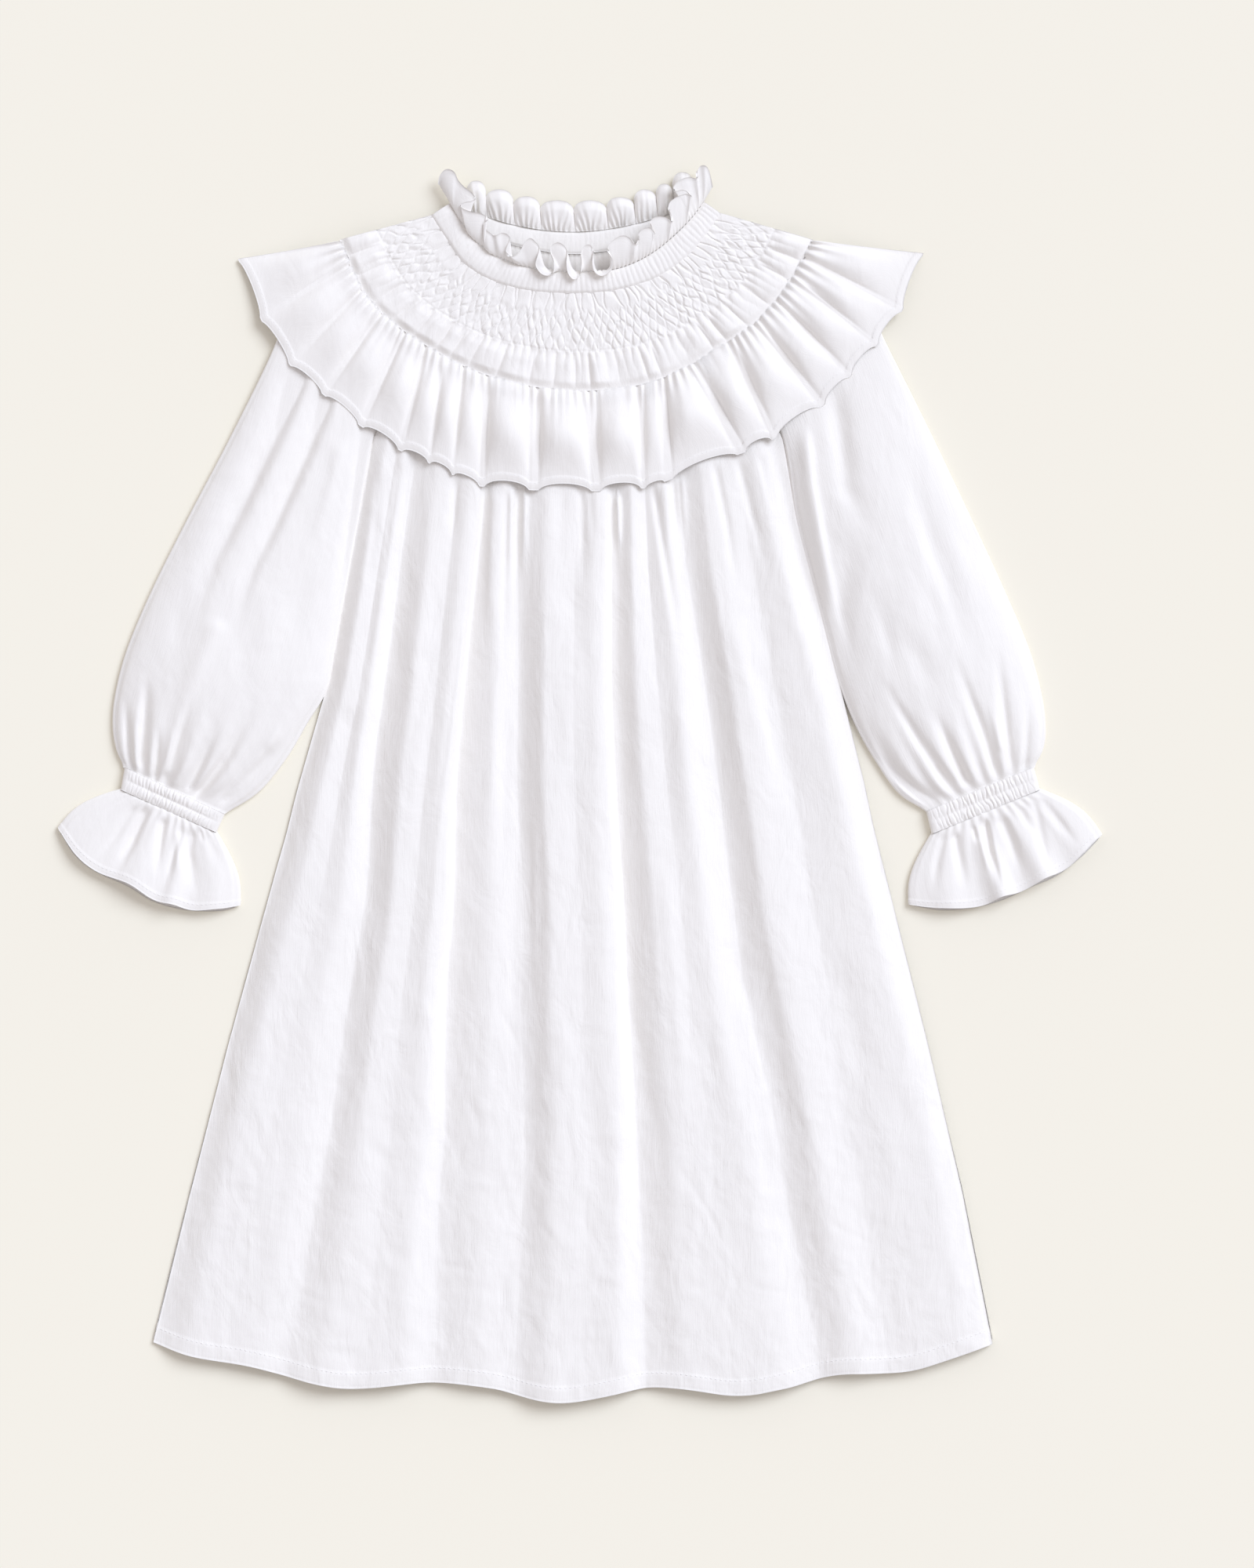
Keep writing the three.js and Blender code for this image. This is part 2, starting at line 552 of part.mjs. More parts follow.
// Front yoke: a plain inside, and an outside with its ridges and rows of shirring raised
function yokeFront() {
  const plan = (along, down) => {
    const band = beside(BAND_OUTER, BAND_OUTER.getUtoTmapping(along), SEAM_GAP);
    const seam = YOKE_SEAM.getPointAt(along);
    return mix(band, [seam.x, seam.y], down);
  };
  const grid = (height) => YOKE_RELIEF.map((row, r) => Array.from({ length: YOKE_COLUMNS + 1 }, (_, c) => {
    const along = c / YOKE_COLUMNS;
    return new THREE.Vector3(...plan(along, row.down), yokeUnder(along, row.down) + height(row, c, r));
  }));
  const relief = (row, c) => YOKE_WALL + ((c + row.shift) % 2 ? row.ridge : 0);
  return wall(grid(relief), grid(() => 0), false);
}

// Back yoke: one flat layer
function yokeBack() {
  const rows = [0, 1];
  const under = rows.map((down) => Array.from({ length: YOKE_BACK_COLUMNS + 1 }, (_, c) => {
    const along = c / YOKE_BACK_COLUMNS;
    const band = beside(BACK_BAND_OUTER, BACK_BAND_OUTER.getUtoTmapping(along), SEAM_GAP);
    const seam = YOKE_SEAM.getPointAt(along);
    return new THREE.Vector3(...mix(band, [seam.x, seam.y], down), 0);
  }));
  const top = under.map((row) => row.map((p) => p.clone().setZ(CLOTH)));
  return wall(top, under, false);
}

// Neckband: a puffed channel with fine gathers, plain inside
function neckband(outerEdge, innerEdge, columns, low, puff) {
  const rows = [0, 0.5, 1];
  const grid = (height) => rows.map((up, r) => Array.from({ length: columns + 1 }, (_, c) => {
    const along = c / columns;
    const outer = outerEdge.getPointAt(along);
    const inner = innerEdge.getPointAt(along);
    const z = low(along) + height(r, c);
    return new THREE.Vector3(lerp(outer.x, inner.x, up), lerp(outer.y, inner.y, up), z);
  }));
  const raised = (r, c) => BAND_WALL + (r === 1 ? puff : 0) + (c % 2 ? BAND_GATHER : 0);
  return wall(grid(raised), grid(() => 0), false);
}

// Front frill: a standing wall that sways from side to side along the neckband
function frillFront() {
  const columns = FRILL_WAVES * FRILL_STEPS;
  const stops = FRILL_LAY.map((row) => row.along);
  const lay = (key, along) => eased(stops, FRILL_LAY.map((row) => row[key]), along);
  const middle = FRILL_ROWS.map((up) => Array.from({ length: columns + 1 }, (_, c) => {
    const along = c / columns;
    const phase = 2 * Math.PI * FRILL_WAVES * along;
    const t = BAND_INNER.getUtoTmapping(along);
    const tangent = BAND_INNER.getTangent(t);
    const free = Math.max(up - FRILL_COLLAR, 0) / (1 - FRILL_COLLAR);
    const inward = (lay('inward', along) + lay('sway', along) * Math.sin(phase)) * free;
    const [x, y] = beside(BAND_INNER, t, -(SEAM_GAP + FRILL_CLOTH / 2 + inward));
    const loop = -FRILL_LOOP * free * Math.sin(2 * phase);
    const base = yokeUnder(along, 0) + BAND_WALL / 2;
    const z = base + lay('rise', along) * up;
    return new THREE.Vector3(x + tangent.x * loop, y + tangent.y * loop + lay('up', along) * free, z);
  }));
  const normals = gridNormals(middle);
  return wall(shifted(middle, normals, FRILL_CLOTH / 2), shifted(middle, normals, -FRILL_CLOTH / 2), false);
}

// Back frill: rounded scallops lying up from the back neckband
function frillBack() {
  const columns = BACK_FRILL_WAVES * FRILL_STEPS;
  const middle = FRILL_ROWS.map((up) => Array.from({ length: columns + 1 }, (_, c) => {
    const phase = 2 * Math.PI * BACK_FRILL_WAVES * (c / columns);
    const along = lerp(BACK_FRILL_SPAN[0], BACK_FRILL_SPAN[1], c / columns);
    const depth = BACK_FRILL_DEPTH - BACK_FRILL_SCALLOP * (0.5 + 0.5 * Math.cos(phase));
    const t = BACK_BAND_INNER.getUtoTmapping(along);
    const [x, y] = beside(BACK_BAND_INNER, t, -(SEAM_GAP + depth * up));
    const wave = -BACK_FRILL_WAVE * Math.cos(phase) * smooth(up * BACK_FRILL_FLARE);
    const level = lerp(BACK_FRILL_BASE, BACK_FRILL_LEVEL, smooth(up * BACK_FRILL_CLIMB));
    return new THREE.Vector3(x, y, level + wave);
  }));
  const normals = gridNormals(middle);
  return wall(shifted(middle, normals, FRILL_CLOTH / 2), shifted(middle, normals, -FRILL_CLOTH / 2), false);
}

// One section of a flattened tube, as an outer and an inner loop. The plan function gives a point at a
// distance across, and the crest function gives the outer height at a share of the width.
function tubeSection({ width, plan, low, edge, crest, points, thickness }) {
  const place = (distance, z) => new THREE.Vector3(...plan(distance), z);
  const inset = TUBE_CORNER + thickness * TUBE_INSET_SHARE;
  const slope = (a) => {
    const rise = crest(Math.min(a + TUBE_SLOPE_STEP, 1)) - crest(Math.max(a - TUBE_SLOPE_STEP, 0));
    return rise / (2 * TUBE_SLOPE_STEP * width);
  };
  const outer = [];
  const inner = [];
  for (let i = 0; i < TUBE_UNDER_POINTS; i += 1) {
    const a = i / (TUBE_UNDER_POINTS - 1);
    outer.push(place(lerp(TUBE_CORNER, width - TUBE_CORNER, a), low));
    inner.push(place(lerp(inset, width - inset, a), low + thickness));
  }
  const middle = low + edge / 2;
  const side = edge * TUBE_SIDE_SHARE;
  outer.push(place(width, middle - side), place(width, middle + side));
  inner.push(place(width - thickness, middle - TUBE_INNER_SIDE));
  inner.push(place(width - thickness, middle + TUBE_INNER_SIDE));
  for (let i = points - 1; i >= 0; i -= 1) {
    const a = i / (points - 1);
    const z = crest(a);
    const depth = thickness * Math.min(Math.hypot(1, slope(a)), TUBE_STEEP_LIMIT);
    outer.push(place(lerp(TUBE_CORNER, width - TUBE_CORNER, a), z));
    inner.push(place(lerp(inset, width - inset, a), Math.max(z - depth, middle + TUBE_INNER_ROOM)));
  }
  outer.push(place(0, middle + side), place(0, middle - side));
  inner.push(place(thickness, middle + TUBE_INNER_SIDE), place(thickness, middle - TUBE_INNER_SIDE));
  return { outer, inner };
}

function tube(sections) {
  return wall(sections.map((s) => s.outer), sections.map((s) => s.inner), true);
}

// Sleeve: a full tube with long soft folds, pleated into the cuff; its first section follows the yoke seam
function sleeve(table) {
  return tube(table.map((row, index) => {
    const width = Math.hypot(row.inner[0] - row.outer[0], row.inner[1] - row.outer[1]);
    const plan = (distance) => {
      const point = mix(row.outer, row.inner, distance / width);
      return index === 0 ? beside(YOKE_SEAM, atX(YOKE_SEAM, point[0]), SEAM_GAP) : point;
    };
    const crest = (a) => {
      const round = arch(a, SLEEVE_ROUNDNESS);
      const dips = SLEEVE_TROUGHS.map((at) => Math.exp(-(((a - at) / SLEEVE_TROUGH_WIDTH) ** 2)));
      const soft = 1 - row.folds * Math.max(...dips);
      const pleat = 0.5 + 0.5 * Math.cos(2 * Math.PI * SLEEVE_PLEATS * a);
      const edge = row.low + TUBE_EDGE;
      return edge + (row.crest - edge) * round * soft + row.pleats * pleat * round;
    };
    return tubeSection({
      width,
      plan,
      crest,
      low: row.low,
      edge: TUBE_EDGE,
      points: SLEEVE_TOP_POINTS,
      thickness: CLOTH,
    });
  }));
}

// Cuff: two elastic channels of fine ribs with a sunk seam between them
function cuff(side) {
  return tube(CUFF_SWELLS.map((swell, r) => {
    const down = r / (CUFF_SWELLS.length - 1);
    const outer = mix(side.top[0], side.bottom[0], down);
    const inner = mix(side.top[1], side.bottom[1], down);
    const width = Math.hypot(inner[0] - outer[0], inner[1] - outer[1]);
    const points = CUFF_RIBS * 2;
    const crest = (a) => {
      const rib = Math.cos(Math.PI * a * (points - 1)) * CUFF_RIB;
      const round = arch(a, CUFF_ROUNDNESS);
      return lerp(CUFF_EDGE, CUFF_CREST + swell * CUFF_CHANNEL, round) + rib * round;
    };
    return tubeSection({
      width,
      crest,
      points,
      plan: (distance) => mix(outer, inner, distance / width),
      low: 0,
      edge: CUFF_EDGE,
      thickness: CUFF_WALL,
    });
  }));
}

// Cuff ruffle: a flared tube whose folds deepen towards a raised narrow hem
function cuffRuffle(side) {
  const band = 1 - RUFFLE_HEM_BAND / CUFF_RUFFLE_DEPTH;
  const step = HEM_STEP / CUFF_RUFFLE_DEPTH;
  const [start, end] = side.bottom;
  const width = Math.hypot(end[0] - start[0], end[1] - start[1]);
  const away = [(start[0] - end[0]) / width, (start[1] - end[1]) / width];
  return tube([0, CUFF_RUFFLE_MIDDLE, band - step, band, 1].map((down) => {
    const plan = (distance) => {
      const a = distance / width;
      const hem = side.hem.getPointAt(a);
      const top = mix(start, end, a);
      const spread = CUFF_RUFFLE_SIDE * (1 - 2 * a) * Math.sin(Math.PI * down);
      const point = mix([top[0], top[1] - CUFF_SEAM_DROP], [hem.x, hem.y], down);
      return [point[0] + away[0] * spread, point[1] + away[1] * spread];
    };
    const crest = (a) => {
      const fold = 0.5 - 0.5 * Math.cos(2 * Math.PI * CUFF_RUFFLE_FOLDS * a);
      const hem = lerp(CUFF_RUFFLE_TROUGH, CUFF_RUFFLE_CREST, fold);
      const height = lerp(CUFF_CREST, hem, smooth(CUFF_RUFFLE_START + down * (1 - CUFF_RUFFLE_START)));
      const edge = TUBE_EDGE + CUFF_RUFFLE_EDGE_RISE;
      return lerp(edge, height, arch(a, CUFF_RUFFLE_ROUNDNESS)) + (down >= band ? HEM_RAISE : 0);
    };
    return tubeSection({
      width,
      plan,
      crest,
      low: 0,
      edge: TUBE_EDGE,
      points: CUFF_RUFFLE_FOLDS * CUFF_RUFFLE_STEPS,
      thickness: CLOTH,
    });
  }));
}

// White cotton for every piece
function cotton() {
  return new THREE.MeshStandardMaterial({ color: 0xf4f2f3, roughness: 0.9, metalness: 0 });
}

const bandLow = (along) => yokeUnder(along, 0) + BAND_LIFT;

const pieces = {
  body_front: bodyFront(),
  body_back: bodyBack(),
  yoke_front: yokeFront(),
  yoke_back: yokeBack(),
  neckband_front: neckband(BAND_OUTER, BAND_INNER, BAND_COLUMNS, bandLow, BAND_PUFF),
  neckband_back: neckband(BACK_BAND_OUTER, BACK_BAND_INNER, BAND_COLUMNS / 2, () => 0, 0),
  neck_frill_front: frillFront(),
  neck_frill_back: frillBack(),
  yoke_ruffle_front: ruffleFront(),
  yoke_ruffle_back: ruffleBack(),
  sleeve_left: sleeve(SLEEVE_LEFT),
  sleeve_right: sleeve(SLEEVE_RIGHT),
  cuff_left: cuff(CUFF_LEFT),
  cuff_right: cuff(CUFF_RIGHT),
  cuff_ruffle_left: cuffRuffle(CUFF_LEFT),
  cuff_ruffle_right: cuffRuffle(CUFF_RIGHT),
};

// The group stands centred over its origin, with its underside at the origin's height
const dress = new THREE.Group();
for (const [name, geometry] of Object.entries(pieces)) {
  const mesh = new THREE.Mesh(geometry, cotton());
  mesh.name = name;
  dress.add(mesh);
}

const centre = new THREE.Box3().setFromObject(dress).getCenter(new THREE.Vector3());
dress.position.set(-centre.x, -centre.y, 0);

export default dress;
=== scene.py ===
# Peasant dress laid flat on a pale floor, front up, seen from straight above
import math

import bpy
import numpy as np
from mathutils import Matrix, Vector


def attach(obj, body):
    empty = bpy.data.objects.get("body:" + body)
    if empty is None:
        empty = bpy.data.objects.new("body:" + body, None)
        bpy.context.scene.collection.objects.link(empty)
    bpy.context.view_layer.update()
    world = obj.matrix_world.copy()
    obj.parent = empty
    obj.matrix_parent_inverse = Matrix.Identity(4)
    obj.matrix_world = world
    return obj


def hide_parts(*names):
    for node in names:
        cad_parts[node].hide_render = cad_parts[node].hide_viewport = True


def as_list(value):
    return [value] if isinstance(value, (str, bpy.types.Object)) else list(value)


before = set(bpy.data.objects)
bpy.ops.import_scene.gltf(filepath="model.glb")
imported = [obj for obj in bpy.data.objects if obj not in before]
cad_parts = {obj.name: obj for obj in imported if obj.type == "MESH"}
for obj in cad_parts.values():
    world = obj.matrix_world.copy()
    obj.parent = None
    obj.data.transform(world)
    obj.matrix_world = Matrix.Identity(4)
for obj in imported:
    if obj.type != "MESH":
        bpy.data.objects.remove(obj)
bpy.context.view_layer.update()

SEED = 11

# Sizes in millimetres; places are read off the photograph at PIXEL mm from a pixel near the dress's centre
PIXEL = 0.41
PIXEL_CENTRE = (740, 1000)
PHOTO_MIDDLE_X = 800
CENTRE_Y = 0.13
CLOTH = 0.45
REST_LIFT = 0.35
SEAM_GAP = 0.3
BODY_HEM_BAND = 8.5
RUFFLE_HEM_BAND = 4

# Camera, light and floor

CAMERA_HEIGHT = 3.0
FRAME_HEIGHT = 0.82
SENSOR = 36.0
FAR_CLIP = 20
KEY_PLACE = (1.6, 1.4, 1.9)
KEY_SPREAD = 34
KEY_STRENGTH = 2.0
KEY_COLOUR = (0.84, 0.915, 1.05)
SKY_STRENGTH = 0.60
SKY_COLOUR = (0.985, 0.945, 0.985)
FLOOR_SIZE = 12
FLOOR_DROP = 0.0001


def add_camera():
    data = bpy.data.cameras.new("camera")
    data.sensor_width = SENSOR
    data.lens = SENSOR * CAMERA_HEIGHT / FRAME_HEIGHT
    data.clip_end = FAR_CLIP
    camera = bpy.data.objects.new("camera", data)
    camera.location = ((PHOTO_MIDDLE_X - PIXEL_CENTRE[0]) * PIXEL / 1000, 0, CAMERA_HEIGHT)
    bpy.context.collection.objects.link(camera)
    bpy.context.scene.camera = camera


def add_key_light():
    """Even light from far off, whose source looks KEY_SPREAD degrees wide"""
    data = bpy.data.lights.new("key", "SUN")
    data.angle = math.radians(KEY_SPREAD)
    data.energy = KEY_STRENGTH
    data.color = KEY_COLOUR
    light = bpy.data.objects.new("key", data)
    light.location = KEY_PLACE
    light.rotation_mode = "QUATERNION"
    light.rotation_quaternion = (-Vector(KEY_PLACE)).to_track_quat("-Z", "Y")
    bpy.context.collection.objects.link(light)


def add_world():
    world = bpy.data.worlds.new("studio")
    world.use_nodes = True
    back = world.node_tree.nodes["Background"]
    back.inputs["Color"].default_value = (*SKY_COLOUR, 1)
    back.inputs["Strength"].default_value = SKY_STRENGTH
    bpy.context.scene.world = world


add_camera()
add_world()
add_key_light()
view = bpy.context.scene.view_settings
view.view_transform = "Standard"
view.look = "None"
view.exposure = 0
view.gamma = 1

# Small helpers


def mm(x, y):
    return (x - PIXEL_CENTRE[0]) * PIXEL, (PIXEL_CENTRE[1] - y) * PIXEL


def lerp(a, b, t):
    return a + (b - a) * t


def smooth(t):
    s = np.clip(t, 0, 1)
    return s * s * (3 - 2 * s)


def eased(stops, values, at):
    """Values at named stops, eased from one to the next"""
    stops, values = np.asarray(stops, float), np.asarray(values, float)
    i = np.clip(np.searchsorted(stops, at, side="right") - 1, 0, len(stops) - 2)
    return lerp(values[i], values[i + 1], smooth((at - stops[i]) / (stops[i + 1] - stops[i])))


def arch(t, roundness):
    return np.maximum(np.sin(np.pi * t), 0) ** roundness


def column(table, k):
    return np.array([row[k] for row in table], float)


def grid_shares(rows, columns):
    """Shares from 0 to 1 down and across an even grid"""
    return np.meshgrid(np.linspace(0, 1, rows), np.linspace(0, 1, columns), indexing="ij")


def hem_rows(count, band, steps, last):
    """Places of the rows down a sheet. Its hem starts at band, with the steps before, within and after the
    fold of the hem, and ends in the last few rows."""
    before, within, after = steps
    return np.concatenate([np.linspace(0, band - before, count), [band, band + within],
                           np.linspace(band + after, 1, last)])


def noise(x, y, seed):
    """Smooth noise from -1 to 1 with a cell of 1"""
    x, y = np.broadcast_arrays(np.asarray(x, float), np.asarray(y, float))
    ix, iy = np.floor(x).astype(np.int64), np.floor(y).astype(np.int64)
    fx, fy = smooth(x - ix), smooth(y - iy)

    def corner(cx, cy):
        h = (cx * 374761393 + cy * 668265263 + (seed + SEED) * 974634777) & 0xFFFFFFFF
        h = ((h ^ (h >> 13)) * 1274126177) & 0xFFFFFFFF
        return ((h ^ (h >> 16)) & 0xFFFF) / 32767.5 - 1

    low = lerp(corner(ix, iy), corner(ix + 1, iy), fx)
    high = lerp(corner(ix, iy + 1), corner(ix + 1, iy + 1), fx)
    return lerp(low, high, fy)


CURVE_STEPS = 80


class Curve:
    """Smooth curve through points, read by its share of length or by x, with a distance to its right"""

    def __init__(self, points):
        p = np.array(points, float)
        spans = len(p) - 1
        t = np.linspace(0, spans, spans * CURVE_STEPS + 1)
        i = np.minimum(t.astype(int), spans - 1)
        w = (t - i)[:, None]
        before, here = p[np.maximum(i - 1, 0)], p[i]
        there, after = p[i + 1], p[np.minimum(i + 2, spans)]
        a, b = (there - before) / 2, (after - here) / 2
        self.at = ((2 * here - 2 * there + a + b) * w**3
                   + (3 * there - 3 * here - 2 * a - b) * w**2 + a * w + here)
        steps = np.linalg.norm(np.diff(self.at, axis=0), axis=1)
        self.length = steps.sum()
        self.share = np.concatenate([[0], np.cumsum(steps)]) / self.length
        tangent = np.gradient(self.at, axis=0)
        self.tangent = tangent / np.linalg.norm(tangent, axis=1)[:, None]

    def _read(self, share, values):
        return np.stack([np.interp(share, self.share, values[:, k]) for k in (0, 1)], -1)

    def direction(self, share):
        return self._read(share, self.tangent)

    def point(self, share, aside=0):
        d = self.direction(share)
        right = np.stack([d[..., 1], -d[..., 0]], -1)
        return self._read(share, self.at) + right * np.asarray(aside, float)[..., None]

    def share_at_x(self, x):
        return np.interp(x, self.at[:, 0], self.share)


# Outline curves

YOKE_SEAM = Curve([
    (-125.5, 284), (-113, 256.8), (-98, 241.2), (-80, 228.6), (-56, 216), (-28, 208), (-2, 205),
    (28, 207.5), (52, 215.5), (76, 230), (93, 242), (109, 261), (122, 284)])
BAND_OUTER = Curve([
    (-77.5, 296.8), (-69, 283.7), (-60, 271.5), (-46, 262.8), (-27, 257.6), (-5, 256.2), (17, 257.6),
    (39, 264), (55.4, 275.2), (66.4, 288), (73, 298)])
BAND_INNER = Curve([
    (-68, 303), (-61.5, 292), (-53, 281.5), (-41, 273.6), (-24.6, 268.6), (-5, 266.8), (14.8, 267.4),
    (28, 271.2), (39.5, 277.6), (50, 286.2), (59.5, 296), (65, 303.6)])
BACK_BAND_OUTER = Curve([(-77.5, 296.8), (-45, 284.6), (-2.5, 277), (42, 285.4), (73, 298)])
BACK_BAND_INNER = Curve([(-68, 303), (-35, 291.9), (-3, 288.2), (29, 292.4), (65, 303.6)])
BODY_HEM = Curve([
    (-223, -292), (-202, -299), (-170, -304.6), (-125, -315.3), (-78, -312.6), (-46, -315.7), (-10, -323),
    (40, -315.3), (81, -319.4), (106, -315.7), (135, -308.6), (172, -306.5), (215.7, -292.7)])

# Cloth meshes


def grid_normals(face, loop):
    """Unit normals of a grid of points, rows down the cloth and columns across it"""
    down = np.gradient(face, axis=0)
    if loop:
        across = np.roll(face, -1, axis=1) - np.roll(face, 1, axis=1)
    else:
        across = np.gradient(face, axis=1)
    n = np.cross(down, across)
    n /= np.maximum(np.linalg.norm(n, axis=2, keepdims=True), 1e-9)
    if loop:
        outward = face - face.mean(axis=1, keepdims=True)
        if (outward * n).sum() < 0:
            n = -n
    return n


def cloth_lengths(face):
    """Distances in metres along the cloth, across and down, for its weave"""
    across = np.linalg.norm(np.diff(face, axis=1), axis=2)
    across = np.concatenate([np.zeros((len(face), 1)), np.cumsum(across, axis=1)], axis=1)
    across -= across[:, [across.shape[1] // 2]]
    middle = face[:, face.shape[1] // 2]
    down = np.concatenate([[0], np.cumsum(np.linalg.norm(np.diff(middle, axis=0), axis=1))])
    return np.stack([across, np.broadcast_to(down[:, None], across.shape)], -1) / 1000


def shell(name, face, thickness=CLOTH, loop=False, lift=0.0, inside=(1, 1)):
    """Closed shell of cloth on a grid of face points in millimetres, raised by lift and thickened inwards.
    Its inner side keeps one row and one column in so many, which inside gives, and faces the other way."""
    normals = grid_normals(face, loop)
    thickness, lift = (np.broadcast_to(size, face.shape[:2])[..., None] for size in (thickness, lift))
    rows, columns = face.shape[:2]
    kept_rows, kept_columns = kept(rows, inside[0]), kept(columns, inside[1])
    picked = np.ix_(kept_rows, kept_columns)
    outer = face + normals * lift
    inner = (face - normals * thickness)[picked]
    verts = (np.concatenate([outer.reshape(-1, 3), inner.reshape(-1, 3)]) + (0, CENTRE_Y, 0)) / 1000
    lengths = cloth_lengths(face)
    lengths = np.concatenate([lengths.reshape(-1, 2), lengths[picked].reshape(-1, 2)])
    near = np.arange(rows * columns).reshape(rows, columns)
    far = rows * columns + np.arange(inner[..., 0].size).reshape(inner.shape[:2])
    if loop:
        near, far = (np.concatenate([index, index[:, :1]], axis=1) for index in (near, far))
        kept_columns = np.append(kept_columns, columns)
    faces = [quads(near), quads(far)[:, [0, 3, 2, 1]]]
    faces += rim(near[0], far[0], kept_columns)
    faces += rim(near[-1][::-1], far[-1][::-1], near.shape[1] - 1 - kept_columns[::-1])
    if not loop:
        faces += rim(near[:, -1], far[:, -1], kept_rows)
        faces += rim(near[:, 0][::-1], far[:, 0][::-1], rows - 1 - kept_rows[::-1])
    down, across = np.gradient(face, axis=0), np.gradient(face, axis=1)
    if (np.cross(down, across) * normals).sum() < 0:
        faces = [group[:, ::-1] for group in faces]
    return mesh_object(name, verts, faces, lengths)


def kept(count, step):
    return np.unique(np.append(np.arange(0, count, step), count - 1))


def quads(index):
    """Corners of the faces of a grid, row by row"""
    return np.stack([index[:-1, :-1], index[1:, :-1], index[1:, 1:], index[:-1, 1:]], -1).reshape(-1, 4)


def rim(edge, far_edge, places):
    """Faces that join an edge of the outer side to the sparser edge of the inner side"""
    return [np.array([[far_edge[k], far_edge[k + 1], *edge[places[k]:places[k + 1] + 1][::-1]]])
            for k in range(len(places) - 1)]


def mesh_object(name, verts, faces, lengths=None):
    """Mesh from points and groups of faces, each group with its own number of corners"""
    mesh = bpy.data.meshes.new(name)
    mesh.vertices.add(len(verts))
    mesh.vertices.foreach_set("co", np.asarray(verts, np.float32).ravel())
    corners = np.concatenate([group.ravel() for group in faces]).astype(np.int32)
    totals = np.concatenate([np.full(len(group), group.shape[1]) for group in faces]).astype(np.int32)
    mesh.loops.add(len(corners))
    mesh.loops.foreach_set("vertex_index", corners)
    mesh.polygons.add(len(totals))
    mesh.polygons.foreach_set("loop_start", np.concatenate([[0], np.cumsum(totals)[:-1]]).astype(np.int32))
    mesh.polygons.foreach_set("loop_total", totals)
    if lengths is not None:
        layer = mesh.uv_layers.new(name="cloth")
        layer.data.foreach_set("uv", lengths[corners].astype(np.float32).ravel())
    mesh.update(calc_edges=True)
    mesh.validate()
    mesh.polygons.foreach_set("use_smooth", np.ones(len(mesh.polygons), bool))
    obj = bpy.data.objects.new(name, mesh)
    bpy.context.collection.objects.link(obj)
    return obj


def on_grid(xy, z):
    return np.concatenate([xy, np.broadcast_to(z, xy.shape[:-1])[..., None]], -1)


def creased(xy, table, gentle=False):
    """Height that listed creases add at plan points. Each row has the half widths in mm to the left and
    to the right of the way the crease runs, its rise in mm, and its path in photograph pixels. Where gentle
    is set, the wide ones begin softly."""
    height = np.zeros(xy.shape[:-1])
    for left_width, right_width, rise, *path in table:
        line = np.array([mm(x, y) for x, y in zip(path[::2], path[1::2])])
        reach = 3 * max(left_width, right_width)
        near = ((xy > line.min(axis=0) - reach) & (xy < line.max(axis=0) + reach)).all(axis=-1)
        if not near.any():
            continue
        nearest, along, left = nearest_on(line, xy[near])
        width = np.where(left, left_width, right_width)
        soft = np.clip((left_width - 5) / 1.5, 0, 1) if gentle else 0
        fade = smooth(along / lerp(0.14, 0.55, soft) + lerp(0.12, 0, soft)) * smooth((1 - along) / 0.6)
        height[near] += rise * np.exp(-((nearest / width) ** 2)) * fade
    return height


def nearest_on(line, points):
    """For each point, its distance from a line, how far along it is, and whether it lies on the left"""
    steps = np.linalg.norm(np.diff(line, axis=0), axis=1)
    stops = np.concatenate([[0], np.cumsum(steps)]) / steps.sum()
    nearest = np.full(len(points), np.inf)
    along = np.zeros(len(points))
    left = np.zeros(len(points), bool)
    for k in range(len(steps)):
        span = line[k + 1] - line[k]
        away = points - line[k]
        t = np.clip(away @ span / (span @ span), 0, 1)
        distance = np.linalg.norm(away - t[:, None] * span, axis=1)
        closer = distance < nearest
        nearest = np.where(closer, distance, nearest)
        along = np.where(closer, lerp(stops[k], stops[k + 1], t), along)
        left = np.where(closer, span[0] * away[:, 1] - span[1] * away[:, 0] > 0, left)
    return nearest, along, left


def crinkle(xy, seed, size, amount):
    """Crumpled relief with crisp little ridges, a size long and a little narrower"""
    x, y = xy[..., 0] / size, xy[..., 1] / size
    warp = 0.7 * noise(x / 1.7, y / 1.7, seed)
    coarse = 1 - 2 * np.abs(noise(1.25 * x + warp, 0.75 * y - warp, seed + 1))
    fine = 1 - 2 * np.abs(noise(2.6 * x - warp, 1.7 * y + warp, seed + 2))
    return amount * (0.65 * coarse + 0.35 * fine)


# Materials


